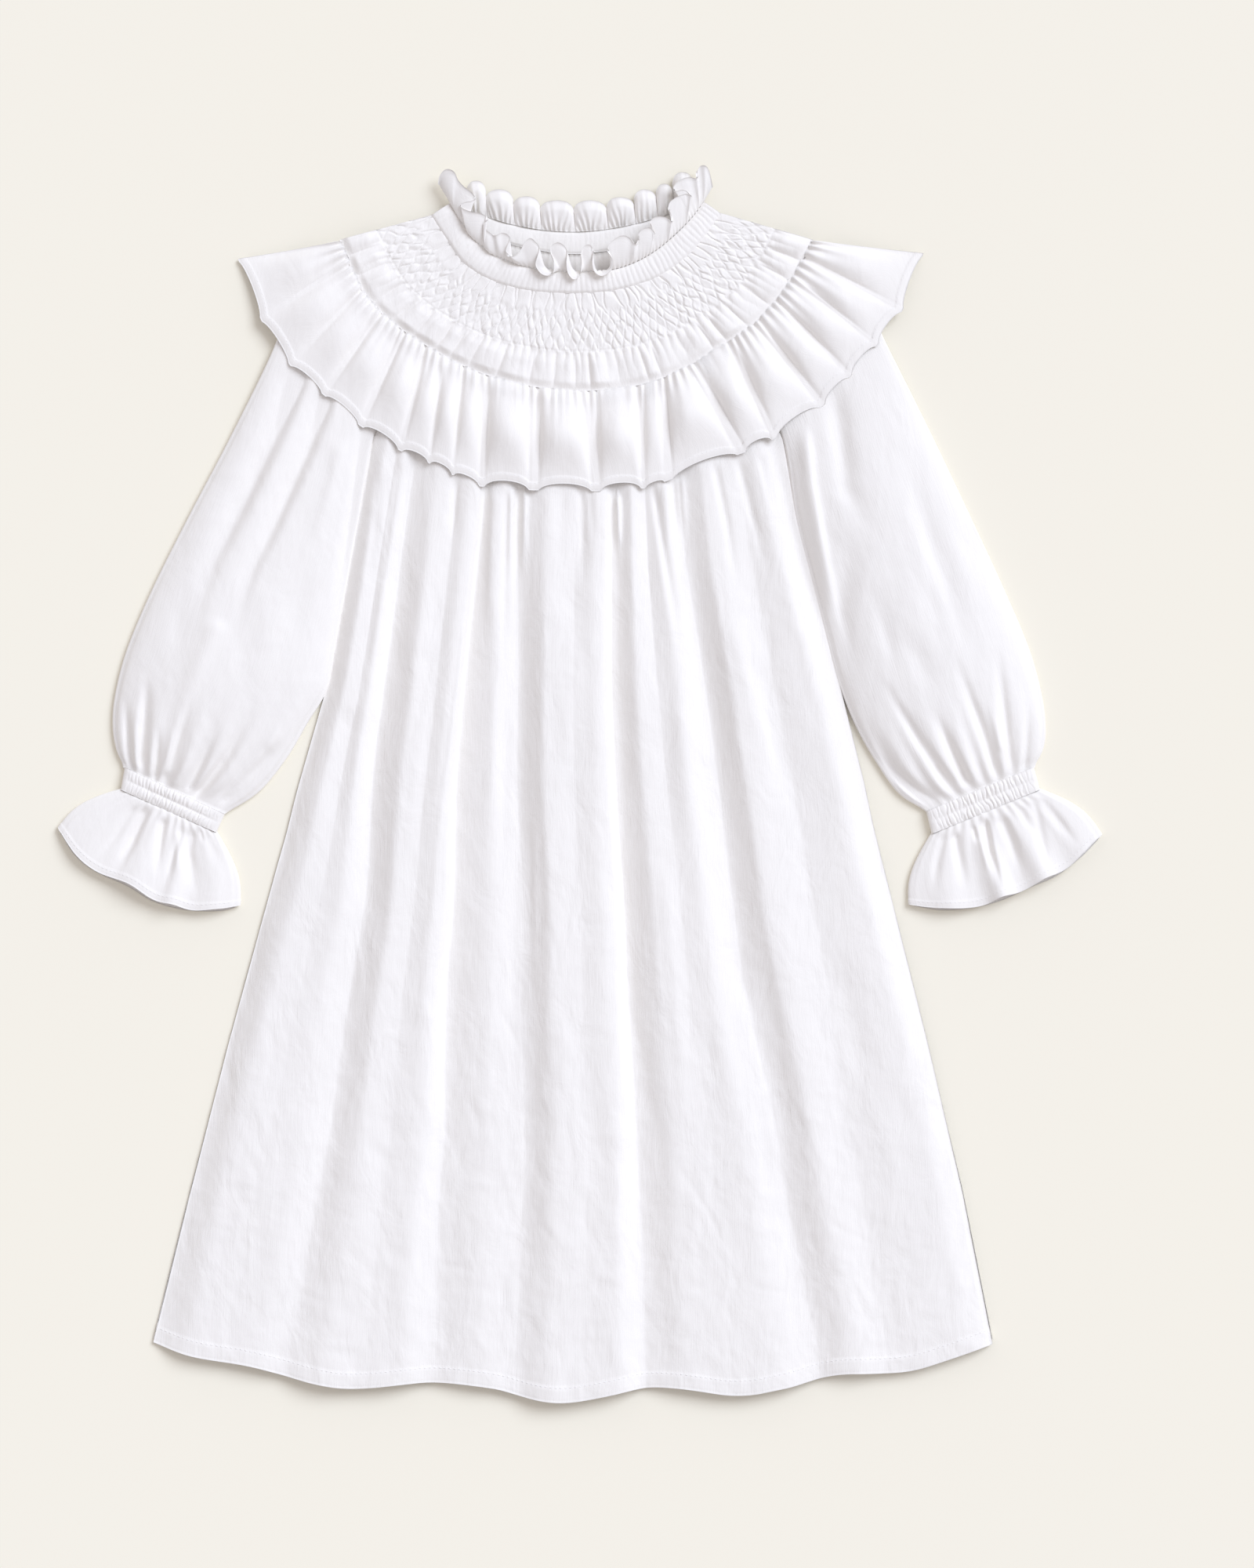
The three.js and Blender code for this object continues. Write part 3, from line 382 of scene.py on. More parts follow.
class Material:
    """A material with one Principled shader, to which nodes are added"""

    def __init__(self, name, sockets):
        self.made = bpy.data.materials.new(name)
        self.made.use_nodes = True
        self.tree = self.made.node_tree
        self.shader = self.tree.nodes["Principled BSDF"]
        self.fill(self.shader, sockets)

    def fill(self, node, sockets):
        for key, value in sockets.items():
            if isinstance(value, bpy.types.NodeSocket):
                self.tree.links.new(value, node.inputs[key])
            else:
                node.inputs[key].default_value = value

    def add(self, kind, sockets, out=0, **settings):
        node = self.tree.nodes.new("ShaderNode" + kind)
        for key, value in settings.items():
            setattr(node, key, value)
        self.fill(node, sockets)
        return node.outputs[out]

    def mapped(self, vector, scale):
        return self.add("Mapping", {"Scale": scale, "Vector": vector})

    def noise(self, vector, scale, detail, distortion=0.0):
        return self.add("TexNoise", {"Scale": scale, "Detail": detail, "Distortion": distortion,
                                     "Vector": vector})

    def ranged(self, value, low, high, to_low, to_high):
        return self.add("MapRange", {"From Min": low, "From Max": high, "To Min": to_low, "To Max": to_high,
                                     "Value": value})

    def combined(self, operation, first, second):
        return self.add("Math", {0: first, 1: second}, operation=operation)

    def bump(self, height, distance, below=None):
        sockets = {"Strength": 1, "Distance": distance, "Height": height}
        if below is not None:
            sockets["Normal"] = below
        return self.add("Bump", sockets)


COTTON = (0.955, 0.93, 0.895)
COTTON_SURFACE = {"Roughness": 0.88, "Specular IOR Level": 0.25, "Sheen Weight": 0.12,
                  "Sheen Roughness": 0.5}
SLUB_SCALE = (1500, 70, 1)
WEAVE_SCALE = (2400, 2400, 1)
CRUMPLE_STRETCH = (1, 0.5, 1)
TONE_SCALE = 9


def cotton(name, crumple, weave, crumple_scale):
    """White cotton with a faint tone, crumple with thin crease lines, and woven threads with slubs along the
    cloth. The depths of crumple and weave are in metres."""
    made = Material(name, COTTON_SURFACE)
    cloth = made.add("UVMap", {}, "UV", uv_map="cloth")
    place = made.add("TexCoord", {}, "Object")
    stretched = made.mapped(place, CRUMPLE_STRETCH)
    slub = made.noise(made.mapped(cloth, SLUB_SCALE), 1, 2)
    threads = made.noise(made.mapped(cloth, WEAVE_SCALE), 1, 1)
    tone = made.combined("MULTIPLY", made.ranged(made.noise(place, TONE_SCALE, 3), 0.3, 0.7, 0.98, 1),
                         made.ranged(slub, 0.3, 0.7, 0.985, 1))
    tint = made.add("VectorMath", {0: COTTON, "Scale": tone}, operation="SCALE")
    veins = made.combined("SUBTRACT", made.noise(stretched, crumple_scale * 0.55, 3, 0.5), 0.5)
    lines = made.ranged(made.combined("ABSOLUTE", veins, 0.0), 0, 0.07, 1, 0)
    normal = made.bump(made.noise(stretched, crumple_scale, 4, 0.6), 2.2 * crumple)
    normal = made.bump(lines, 0.12 * crumple, normal)
    normal = made.bump(threads, weave, normal)
    normal = made.bump(slub, 2.2 * weave, normal)
    made.fill(made.shader, {"Base Color": tint, "Normal": normal})
    return made.made


def speckled(name, sockets, scale, darker, lighter):
    """Plain material whose colour wavers between two tones"""
    made = Material(name, sockets)
    grain = made.add("TexNoise", {"Scale": scale})
    tone = made.add("Mix", {"A": darker, "B": lighter, "Factor": grain}, "Result", data_type="RGBA")
    made.fill(made.shader, {"Base Color": tone})
    return made.made


COTTON_BODY = cotton("cotton_body", 0.0006, 0.00006, 62)
COTTON_SLEEVE = cotton("cotton_sleeve", 0.0004, 0.00006, 50)
COTTON_FRILL = cotton("cotton_frill", 0.0003, 0.00004, 70)
COTTON_SHIRRED = cotton("cotton_shirred", 0.0003, 0.00004, 160)
THREAD = speckled("sewing_thread", {"Roughness": 0.7, "Sheen Weight": 0.1}, 900, (0.9, 0.89, 0.88, 1),
                  (0.96, 0.955, 0.95, 1))
PALE_FLOOR = speckled("pale_floor", {"Roughness": 1, "Specular IOR Level": 0}, 3, (0.955, 0.916, 0.79, 1),
                      (0.961, 0.922, 0.796, 1))

# Body

BODY_LENGTH = 522
PANEL_WIDTH_AT_TOP = 165
PANEL_WIDTH_AT_HEM = 435

# Points of the panels' side edges, at the shares DOWN of the way from seam to hem
DOWN = [0, 0.095, 0.177, 0.346, 0.52, 0.7, 0.85, 1]
LEFT_EDGE = [(-84, 230.8), (-107.4, 181.2), (-115.3, 138), (-131.6, 50), (-157.7, -41), (-183.5, -135),
             (-203.6, -213.5), (-223, -292)]
RIGHT_EDGE = [(77.9, 231.4), (105.8, 180), (112.8, 138), (134.1, 55), (157.3, -37.5), (181.3, -133),
              (200.1, -213), (215.7, -292.7)]

FRONT_ROWS = 290
FRONT_COLUMNS = 252
BACK_ROWS = 90
BACK_COLUMNS = 80
FRONT_AT_SEAM = 4.9
FRONT_OVER_BACK = 1.6
FRONT_EDGE = 2.6
LAST_FALL = 14
TUCK = 0.9
HEM_THICKER = 0.5
HEM_LIFT = 0.35
BACK_AT_SEAM = 1.5
BACK_HEM_FROM = 0.9835

# Crinkles of the front: seed, size and amount, its share at the top, and how much the lower part adds
FRONT_CRINKLES = [(21, 15, 0.26, 0.35, 0.8), (25, 7, 0.2, 0.5, 0.7)]

# Troughs of the front, left to right: place across the panel and height at FOLD_STOPS, crest of the fold to
# the right, over what share of that fold its left side rises and its right side falls, and the width in mm
# of the trough's own flat floor to its left and right; turn is 1 where the slope right of the trough ends in
# a sharp crest and 0 where it starts from a sharp valley
FOLD_STOPS = [0.12, 0.33, 0.56, 0.78, 1]
FOLDS = [
    ((0, 0, 0, 0, 0), (2.4, 1.6, 1.4, 1.4, 1.4), (7.8, 8.8, 8.4, 7.8, 7), 0.5, 0.5, (0, 1.2), 0.5),
    ((0.062, 0.064, 0.08, 0.085, 0.085), (5.4, 7.2, 7.4, 7.4, 6.8), (8.2, 9.4, 9, 8.2, 7.2),
     0.45, 0.6, (0, 0), 0.5),
    ((0.105, 0.108, 0.15, 0.16, 0.156), (3.2, 3, 3.4, 4.4, 5.4), (8.8, 11.6, 11.2, 10, 9),
     0.5, 0.5, (1.6, 0.6), 1),
    ((0.212, 0.208, 0.228, 0.242, 0.25), (6.6, 9.6, 9.4, 8.5, 7.8), (8.6, 11.2, 10.6, 9.6, 8.8),
     0.4, 0.2, (0, 0), 0.5),
    ((0.277, 0.263, 0.294, 0.318, 0.334), (3.2, 3, 3.2, 3.8, 4.2), (8.2, 8, 7.6, 7, 7),
     0.62, 0.5, (0.6, 0.8), 0),
    ((0.362, 0.374, 0.409, 0.428, 0.43), (3.4, 3.2, 3.4, 4.4, 5.4), (8.8, 11.6, 11.2, 10.2, 9),
     0.42, 0.55, (1, 1), 1),
    ((0.497, 0.484, 0.505, 0.515, 0.515), (6.6, 9.8, 9.7, 9, 8.2), (8.6, 11.2, 10.8, 9.8, 8.8),
     0.5, 0.16, (0, 0), 0.5),
    ((0.582, 0.562, 0.576, 0.584, 0.588), (3.2, 3, 3, 3.2, 3.6), (8.2, 9.8, 9.6, 8.8, 7.6),
     0.42, 0.5, (0.8, 2.4), 0.8),
    ((0.661, 0.656, 0.67, 0.685, 0.695), (4.6, 7.8, 8.6, 8.3, 7.6), (8.4, 10, 9.8, 9, 8),
     0.5, 0.6, (0, 0), 0.5),
    ((0.745, 0.752, 0.755, 0.776, 0.795), (3.4, 3.2, 3.4, 3.8, 3.8), (8.6, 11.2, 10.8, 9.6, 8),
     0.34, 0.6, (2, 0.8), 1),
    ((0.889, 0.885, 0.883, 0.873, 0.878), (5.6, 6.4, 6.8, 6.4, 5.6), (7.8, 9, 8.6, 7.8, 6.8),
     0.5, 0.2, (1, 1), 0.5),
    ((1, 1, 1, 1, 1), (2.8, 2.8, 1.6, 1.4, 1.4), (4, 4, 4, 4, 4), 0.5, 0.5, (2, 0), 0.5)]

# Creases of the front, as creased reads them
BODY_CREASES = [
    (3, 2, -1.1, 486, 600, 474, 704, 462, 770), (4, 2, -1.4, 513, 590, 499, 671, 486, 780),
    (2, 2, -1.4, 582, 610, 577, 700), (3, 3, -0.5, 560, 600, 553, 720),
    (3.4, 2.6, 1.7, 630, 615, 624, 840), (2, 2, -1.2, 647, 620, 641, 893),
    (1.4, 1.6, 1.3, 653, 620, 650, 760), (1.5, 1.3, -1.2, 661, 618, 658, 760),
    (1.4, 1.4, 1.9, 670, 618, 668, 750), (2.6, 2.2, -1.6, 741, 615, 744, 671, 742, 760),
    (1.5, 1.5, -0.9, 753, 618, 758, 710), (1.3, 1.3, 2.6, 788, 630, 790, 720),
    (3, 3, -0.6, 718, 618, 712, 740), (2.2, 1.8, -2.2, 833, 615, 847, 704, 860, 782, 868, 850),
    (1.3, 1.2, -1.2, 858, 612, 864, 690), (1.6, 1.6, 0.8, 848, 612, 856, 700),
    (1.4, 1.4, 0.9, 870, 608, 876, 700), (2.2, 1.5, -1.7, 910, 588, 927, 671, 940, 760),
    (3, 2.2, -1.2, 941, 585, 963, 671, 985, 760), (2.2, 2.2, -0.9, 969, 580, 991, 671),
    (5, 5, 0.9, 930, 782, 991, 1004, 1035, 1115), (6, 5, -1.0, 963, 838, 985, 949, 1010, 1080),
    (2.6, 1.1, 0.7, 600, 760, 560, 1060, 540, 1290), (6, 6, -0.9, 448, 900, 420, 1100),
    (6, 6, -0.5, 560, 760, 528, 1000), (3, 3, 0.5, 540, 900, 520, 1100), (4, 3, 0.6, 632, 860, 626, 1080),
    (3, 3, -0.7, 645, 900, 640, 1150), (4, 5, -0.6, 700, 780, 704, 1010), (4, 4, 0.5, 730, 800, 724, 1020),
    (4, 4, -0.5, 752, 820, 750, 1060), (5, 5, 0.7, 868, 900, 880, 1080), (5, 5, -0.6, 895, 960, 915, 1150),
    (6, 6, -0.7, 1010, 800, 1060, 1000), (4, 4, 0.8, 554, 1138, 542, 1292, 535, 1460),
    (6, 6, -0.8, 585, 1138, 577, 1331, 569, 1560), (5, 3, 0.7, 669, 1060, 665, 1331, 661, 1600),
    (1.8, 0.9, 0.6, 682, 1040, 683, 1290), (4, 7, -1.1, 788, 1060, 804, 1292, 838, 1446, 854, 1600),
    (5, 4, 0.9, 846, 1100, 869, 1369, 885, 1560), (5, 5, 0.9, 938, 1250, 977, 1408, 1015, 1600),
    (5, 5, -0.8, 969, 1200, 1008, 1423, 1027, 1560),
    (7, 7, -0.9, 431, 1120, 408, 1331, 365, 1531, 354, 1690), (6, 6, 0.7, 469, 1120, 446, 1292, 392, 1520),
    (6, 6, 0.6, 354, 1150, 292, 1480), (7, 7, -0.7, 1069, 1230, 1146, 1500),
    (6, 6, 0.5, 1110, 1350, 1150, 1600), (6, 6, 0.6, 720, 1300, 735, 1560),
    (5, 5, -0.5, 760, 1400, 776, 1660), (6, 6, 0.6, 470, 1460, 455, 1680),
    (6, 6, -0.6, 300, 1500, 270, 1660), (4, 5, -0.5, 900, 1300, 930, 1500),
    (1.4, 1.4, -0.4, 520, 1380, 545, 1440, 536, 1500), (1.2, 1.2, -0.35, 640, 1290, 668, 1350),
    (1, 1, -0.35, 735, 1170, 764, 1186), (1.1, 1.1, -0.35, 420, 1540, 452, 1552),
    (1.4, 1.4, -0.45, 870, 1490, 912, 1560, 930, 1610), (1.3, 1.3, -0.4, 1010, 1400, 1034, 1470),
    (1.3, 1.3, -0.4, 340, 1300, 352, 1340, 330, 1420), (1.2, 1.2, -0.35, 690, 1560, 712, 1590),
    (1.2, 1.2, -0.35, 820, 1600, 870, 1612), (1.2, 1.2, -0.35, 560, 1610, 610, 1622),
    (1.3, 1.3, -0.4, 960, 1640, 1020, 1652), (1.3, 1.3, -0.35, 380, 1650, 440, 1664),
    (1.2, 1.2, -0.35, 1060, 1560, 1120, 1590), (1.2, 1.2, -0.35, 300, 1440, 330, 1500, 322, 1560),
    (1.2, 1.2, -0.35, 600, 1400, 622, 1470), (1.1, 1.1, -0.3, 780, 1230, 808, 1262),
    (1.1, 1.1, -0.3, 700, 1180, 716, 1240)]


def body_plan(across, down, hem_inset):
    """Plan places on a body panel, whose edges are tucked under the sleeves"""
    left, right = (np.stack([np.interp(down, DOWN, column(edge, k)) for k in (0, 1)], -1)
                   for edge in (LEFT_EDGE, RIGHT_EDGE))
    seam_x = lerp(LEFT_EDGE[0][0], RIGHT_EDGE[0][0], across)
    seam = YOKE_SEAM.point(YOKE_SEAM.share_at_x(seam_x), SEAM_GAP)[..., 1]
    hem_x = lerp(LEFT_EDGE[-1][0], RIGHT_EDGE[-1][0], across)
    hem = BODY_HEM.point(BODY_HEM.share_at_x(hem_x))[..., 1]
    middle = lerp(seam, hem + hem_inset, down)
    chord = lerp(left[..., 1], right[..., 1], across)
    inside = smooth(np.minimum(across, 1 - across) / 0.12)
    inside = lerp(inside, 1, np.maximum(smooth((down - 0.72) / 0.2), 1 - smooth(down / 0.02)))
    tuck = TUCK * (across - 0.5) * (1 - smooth((down - 0.44) / 0.06)) * 2
    return np.stack([lerp(left[..., 0], right[..., 0], across) + tuck, lerp(chord, middle, inside)], -1)


def fold_columns(widths, total):
    """For each column of a folded panel, its fold and its place in it, closer together near the troughs"""
    places = []
    for k, width in enumerate(widths):
        count = max(8, round(total * width / sum(widths)))
        t = np.arange(count) / count
        places += [(k, lerp(s, 0.5 - 0.5 * math.cos(math.pi * s), 0.55)) for s in t]
    places.append((len(widths) - 1, 1.0))
    return np.array([p[0] for p in places]), np.array([p[1] for p in places])


def back_low(down):
    return BACK_AT_SEAM * (1 - smooth((down - 0.105) / 0.07))


def front_folds(rows):
    """Place across the panel and height of the front's folds, for each row and column. They soften towards
    the hem, and the last one starts to fall LAST_FALL before the panel's edge."""
    across, floor, crest, rise, fall, flat, turn = zip(*FOLDS)
    fold, s = fold_columns(np.diff([values[2] for values in across]), FRONT_COLUMNS)
    across, floor, crest = (np.array([eased(FOLD_STOPS, values, rows) for values in measure])
                            for measure in (across, floor, crest))
    rise, fall, flat, turn = (np.array(measure, float) for measure in (rise, fall, flat, turn))
    left, right = across[fold].T, across[fold + 1].T
    low, high, crest = floor[fold].T, floor[fold + 1].T, crest[fold].T
    down = rows[:, None] * np.ones_like(left)
    crisp = 1 - smooth((down - 0.48) / 0.42)
    width = np.maximum((right - left) * lerp(PANEL_WIDTH_AT_TOP, PANEL_WIDTH_AT_HEM, down), 1)
    up = np.clip((s - crisp * flat[fold, 1] / width) / lerp(0.5, rise[fold], crisp), 0, 1)
    off = np.clip((1 - s - crisp * flat[fold + 1, 0] / width) / lerp(0.5, fall[fold], crisp), 0, 1)
    crown = [np.sin(np.pi / 2 * np.clip(side / 0.6, 0, 1)) for side in (s, 1 - s)]
    sloped = lerp(1 - (1 - up) ** 1.5, up**1.5, turn[fold])
    up = lerp(crown[0], lerp(smooth(up), sloped, 0.8 * crisp), lerp(0.7, 0.75, crisp))
    off = 1 - lerp(crown[1], lerp(smooth(off), np.sin(np.pi / 2 * off), 0.4 * crisp), lerp(0.75, 0.6, crisp))
    last = fold == len(FOLDS) - 2
    off[:, last] = smooth(np.clip((s - 1 + LAST_FALL / width) / 0.46, 0, 1))[:, last]
    return lerp(left, right, s), low + (crest - low) * up - (crest - high) * off


def body_front():
    band = 1 - BODY_HEM_BAND / BODY_LENGTH
    rows = hem_rows(FRONT_ROWS, band, (0.002, 0.0015, 0.005), 5)
    across, z = front_folds(rows)
    down = rows[:, None] * np.ones_like(across)
    xy = body_plan(across, down, 0)
    z = lerp(FRONT_AT_SEAM, z, smooth(down / 0.16))
    z = z + creased(xy, BODY_CREASES) * smooth(z / 3)
    lower = smooth((down - 0.35) / 0.6)
    for seed, size, amount, at_top, gain in FRONT_CRINKLES:
        z += crinkle(xy, seed, size, amount) * (at_top + gain * lower)
    side = np.minimum(across, 1 - across)
    z = np.where(side > 0.004, np.maximum(z, back_low(down) + FRONT_OVER_BACK), np.minimum(z, FRONT_EDGE))
    hem = smooth((down - band) * BODY_LENGTH / 0.8)
    pucker = noise(xy[..., 0] / 3.1, 0.5, 31) * 0.16 + noise(xy[..., 0] / 7, 0.5, 32) * 0.12
    xy = xy + np.stack([np.zeros_like(z), 0.35 * noise(xy[..., 0] / 16, 0.5, 33) * hem], -1)
    z += pucker * hem * smooth((1 - down) * BODY_LENGTH / 3)
    face = on_grid(xy, z)
    edge = 1 - smooth((1 - down) * BODY_LENGTH / 1.2)
    obj = shell("body_front_cloth", face, CLOTH + HEM_THICKER * hem * (1 - 0.7 * edge),
                lift=HEM_LIFT * hem * (1 - 0.8 * edge), inside=(4, 1))
    stitch_row = int(np.argmin(abs(rows - (band + 0.0028))))
    return obj, face[stitch_row] + (0, 0, 0.42)


def body_back():
    rows = hem_rows(BACK_ROWS, BACK_HEM_FROM, (0.0035, 0.0015, 0.0045), 4)
    down, across = np.meshgrid(rows, np.linspace(0, 1, BACK_COLUMNS), indexing="ij")
    xy = body_plan(across, down, 2.2)
    folds = noise(across * 9 + 0.4 * noise(down * 4, across * 3, 41), down * 1.2, 42)
    z = back_low(down) + CLOTH + 0.12 + 0.32 * (0.5 + 0.5 * folds) * smooth(down / 0.2)
    z += 0.25 * smooth(1 - np.minimum(across, 1 - across) / 0.02)
    z += np.maximum(crinkle(xy, 44, 12, 0.05), -0.08)
    hem = smooth((down - BACK_HEM_FROM) * BODY_LENGTH / 0.8)
    return shell("body_back_cloth", on_grid(xy, z + 0.2 * hem), CLOTH + 0.2 * hem, lift=0.15 * hem)


# Ruffle round the yoke

RUFFLE_DEPTH = 49
RUFFLE_ROWS = 38
RUFFLE_COLUMNS = 400
BACK_RUFFLE_GRID = (30, 240)
RUFFLE_HEM_STEPS = (0.012, 0.012, 0.03)
RUFFLE_AT_SEAM = 5.2
SCALLOP = 3.4
SWAY = 1.6
SEAM_GATHER_PITCH = 4.2
SEAM_GATHER_RISE = 1.35

# Troughs of the front ruffle, left to right: x on the yoke seam, hem point, height of the underside at the
# hem, and rise of the fold to the right
RUFFLE = [
    (-125, (-178.8, 274.3), 2, 4), (-120.8, (-166.5, 242), 5.8, 4), (-114, (-151.5, 218.5), 7, 4.5),
    (-104.5, (-134, 203), 7, 5), (-92.3, (-114.5, 186.5), 7, 5.5), (-80, (-93.5, 173.5), 8, 5),
    (-71.3, (-78.5, 167), 8, 5), (-61.5, (-66.5, 161), 8.4, 5), (-50, (-52, 155), 8, 8),
    (-23.4, (-24.5, 153), 8, 9), (5, (9, 152.5), 8, 8), (32.5, (34, 154), 8, 4),
    (43, (44.5, 157.5), 8.4, 8), (59, (86.5, 173), 8, 6), (78, (101, 179.5), 8, 6.5),
    (92.6, (127.5, 197.5), 7, 5), (102.5, (141.5, 212.5), 7, 5), (111.3, (155.5, 229), 7, 4.5),
    (117, (168.5, 247), 5.8, 4), (121.6, (179.6, 277.2), 2, 0)]


def ruffle_height(fold, s, down, arc, flat):
    """Height of the front ruffle: its folds, the gathers at its seam and small creases"""
    low, rise = column(RUFFLE, 2), column(RUFFLE, 3)
    distance = down * RUFFLE_DEPTH
    base = lerp(RUFFLE_AT_SEAM, lerp(low[fold], low[fold + 1], s), smooth(down * 1.4))
    puffed = smooth(0.2 + down * 1.3) * (1 - 0.9 * smooth((down - 0.4) / 0.6))
    z = base + flat * rise[fold] * puffed + REST_LIFT
    z = z - 1.3 * np.exp(-distance / 0.8) + 0.9 * np.exp(-(((distance - 4) / 4) ** 2))
    gather = np.cos(2 * np.pi * (arc / SEAM_GATHER_PITCH + 0.6 * noise(arc / 9, 0.5, 51)))
    reach = np.exp(-distance / (8 + 6 * noise(arc / 11, 3.5, 52)))
    z = z + SEAM_GATHER_RISE * gather * reach * smooth(distance / 1.2 + 0.2)
    swirl = noise(arc / 14 + distance / 60, distance / 30, 53) * 0.5 * smooth(distance / 10)
    creasing = noise(arc / 4.2, down * 1.6, 56) * smooth(distance / 6) * (1 - 0.6 * down)
    return z + swirl + 0.6 * creasing


def ruffle_front():
    seam_x, hem, rise = column(RUFFLE, 0), column(RUFFLE, 1), column(RUFFLE, 3)
    widths = np.linalg.norm(np.diff(hem, axis=0), axis=1)
    fold, s = fold_columns(widths, RUFFLE_COLUMNS)
    band = 1 - RUFFLE_HEM_BAND / RUFFLE_DEPTH
    down = hem_rows(RUFFLE_ROWS, band, RUFFLE_HEM_STEPS, 4)[:, None]
    full = smooth(rise[fold] / 8)
    wave = np.sin(np.pi * np.clip((s - 0.13 * full) / (1 - 0.26 * full), 0, 1))
    share = YOKE_SEAM.share_at_x(lerp(seam_x[fold], seam_x[fold + 1], s))
    along = (hem[fold + 1] - hem[fold]) / widths[fold][:, None]
    edge = lerp(hem[fold], hem[fold + 1], s[:, None])
    out = down * (1 - SCALLOP / RUFFLE_DEPTH * wave**0.6 * full)
    xy = lerp(YOKE_SEAM.point(share, -0.8), edge, out[..., None])
    xy = xy - along * (SWAY * np.sin(2 * np.pi * s) * full * down**1.3)[..., None]
    arc = share * YOKE_SEAM.length
    z = ruffle_height(fold, s, down, arc, wave ** lerp(1.0, 0.5, full)) + crinkle(xy, 54, 7, 0.09)
    hem_band = smooth((down - band) * RUFFLE_DEPTH / 0.6)
    z = z + hem_band * (noise(arc / 2.6, 0.5, 55) * 0.14) - 0.35 * smooth((down - band) / (1 - band))
    face = on_grid(xy, z)
    rim = 1 - smooth((1 - down) * RUFFLE_DEPTH / 0.9)
    obj = shell("yoke_ruffle_front_cloth", face, CLOTH + 0.1 * hem_band * (1 - rim),
                lift=0.4 * hem_band * (1 - 0.9 * rim), inside=(2, 1))
    row = int(np.argmin(abs(down[:, 0] - (band + 0.02))))
    return obj, face[row] + (0, 0, 0.36)


def ruffle_back():
    seam_x, hem = column(RUFFLE, 0), column(RUFFLE, 1)
    at = np.linspace(0, len(RUFFLE) - 1, BACK_RUFFLE_GRID[1])
    knots = np.arange(len(RUFFLE))
    share = YOKE_SEAM.share_at_x(np.interp(at, knots, seam_x))
    edge = np.stack([np.interp(at, knots, hem[:, k]) for k in (0, 1)], -1)
    down = np.linspace(0, 1, BACK_RUFFLE_GRID[0])[:, None]
    xy = lerp(YOKE_SEAM.point(share, SEAM_GAP), edge, (down * (1 - 2.4 / RUFFLE_DEPTH))[..., None])
    waves = 0.5 + 0.5 * np.sin(2 * np.pi * (at * 0.9 + 0.3 * noise(at / 2, 0.5, 61)))
    z = CLOTH + 0.2 + 0.3 * waves * down + 0.1 * np.cos(at * 9) * np.exp(-down * 5)
    hem_band = smooth((down - 0.92) * RUFFLE_DEPTH / 0.6)
    return shell("yoke_ruffle_back_cloth", on_grid(xy, z + 0.12 * hem_band), CLOTH, lift=0.1 * hem_band)


# Yoke, neckband and frills


def yoke_under(along, down):
    loft = arch(along, 0.6)
    return 1.5 + 2 * down * (1 - loft) + 3.1 * loft


# Shirring rows of the front yoke, as shares of the way from the band to the seam, and how far apart creases
# and gathers are and how high they rise
SMOCK_ROWS = [0.2, 0.3, 0.4, 0.5, 0.6]
SMOCK_PITCH = 2.5
BAND_RIDGE_PITCH = 5.2
RELEASED_PITCH = 10.5
BAND_RIDGE_RISE = 1.0
SMOCK_RISE = 0.95
RELEASED_RISE = 2.7
FINE_GATHER_RISE = 1.1

YOKE_TOP = 1.3
YOKE_GRID = (106, 741)
BACK_YOKE_GRID = (40, 200)
NECKBAND_ROWS = 21


def crease_distance(places, row):
    """Distance, in creases, from the nearest of the shirring creases, which lean together in pairs at every
    other row"""
    first = np.floor(places)
    lines = [first + k + np.where((first + k) % 2 == 0, 0.4, -0.4) * np.cos(np.pi * row)
             for k in (-1, 0, 1, 2)]
    return np.min([np.abs(places - line) for line in lines], axis=0)


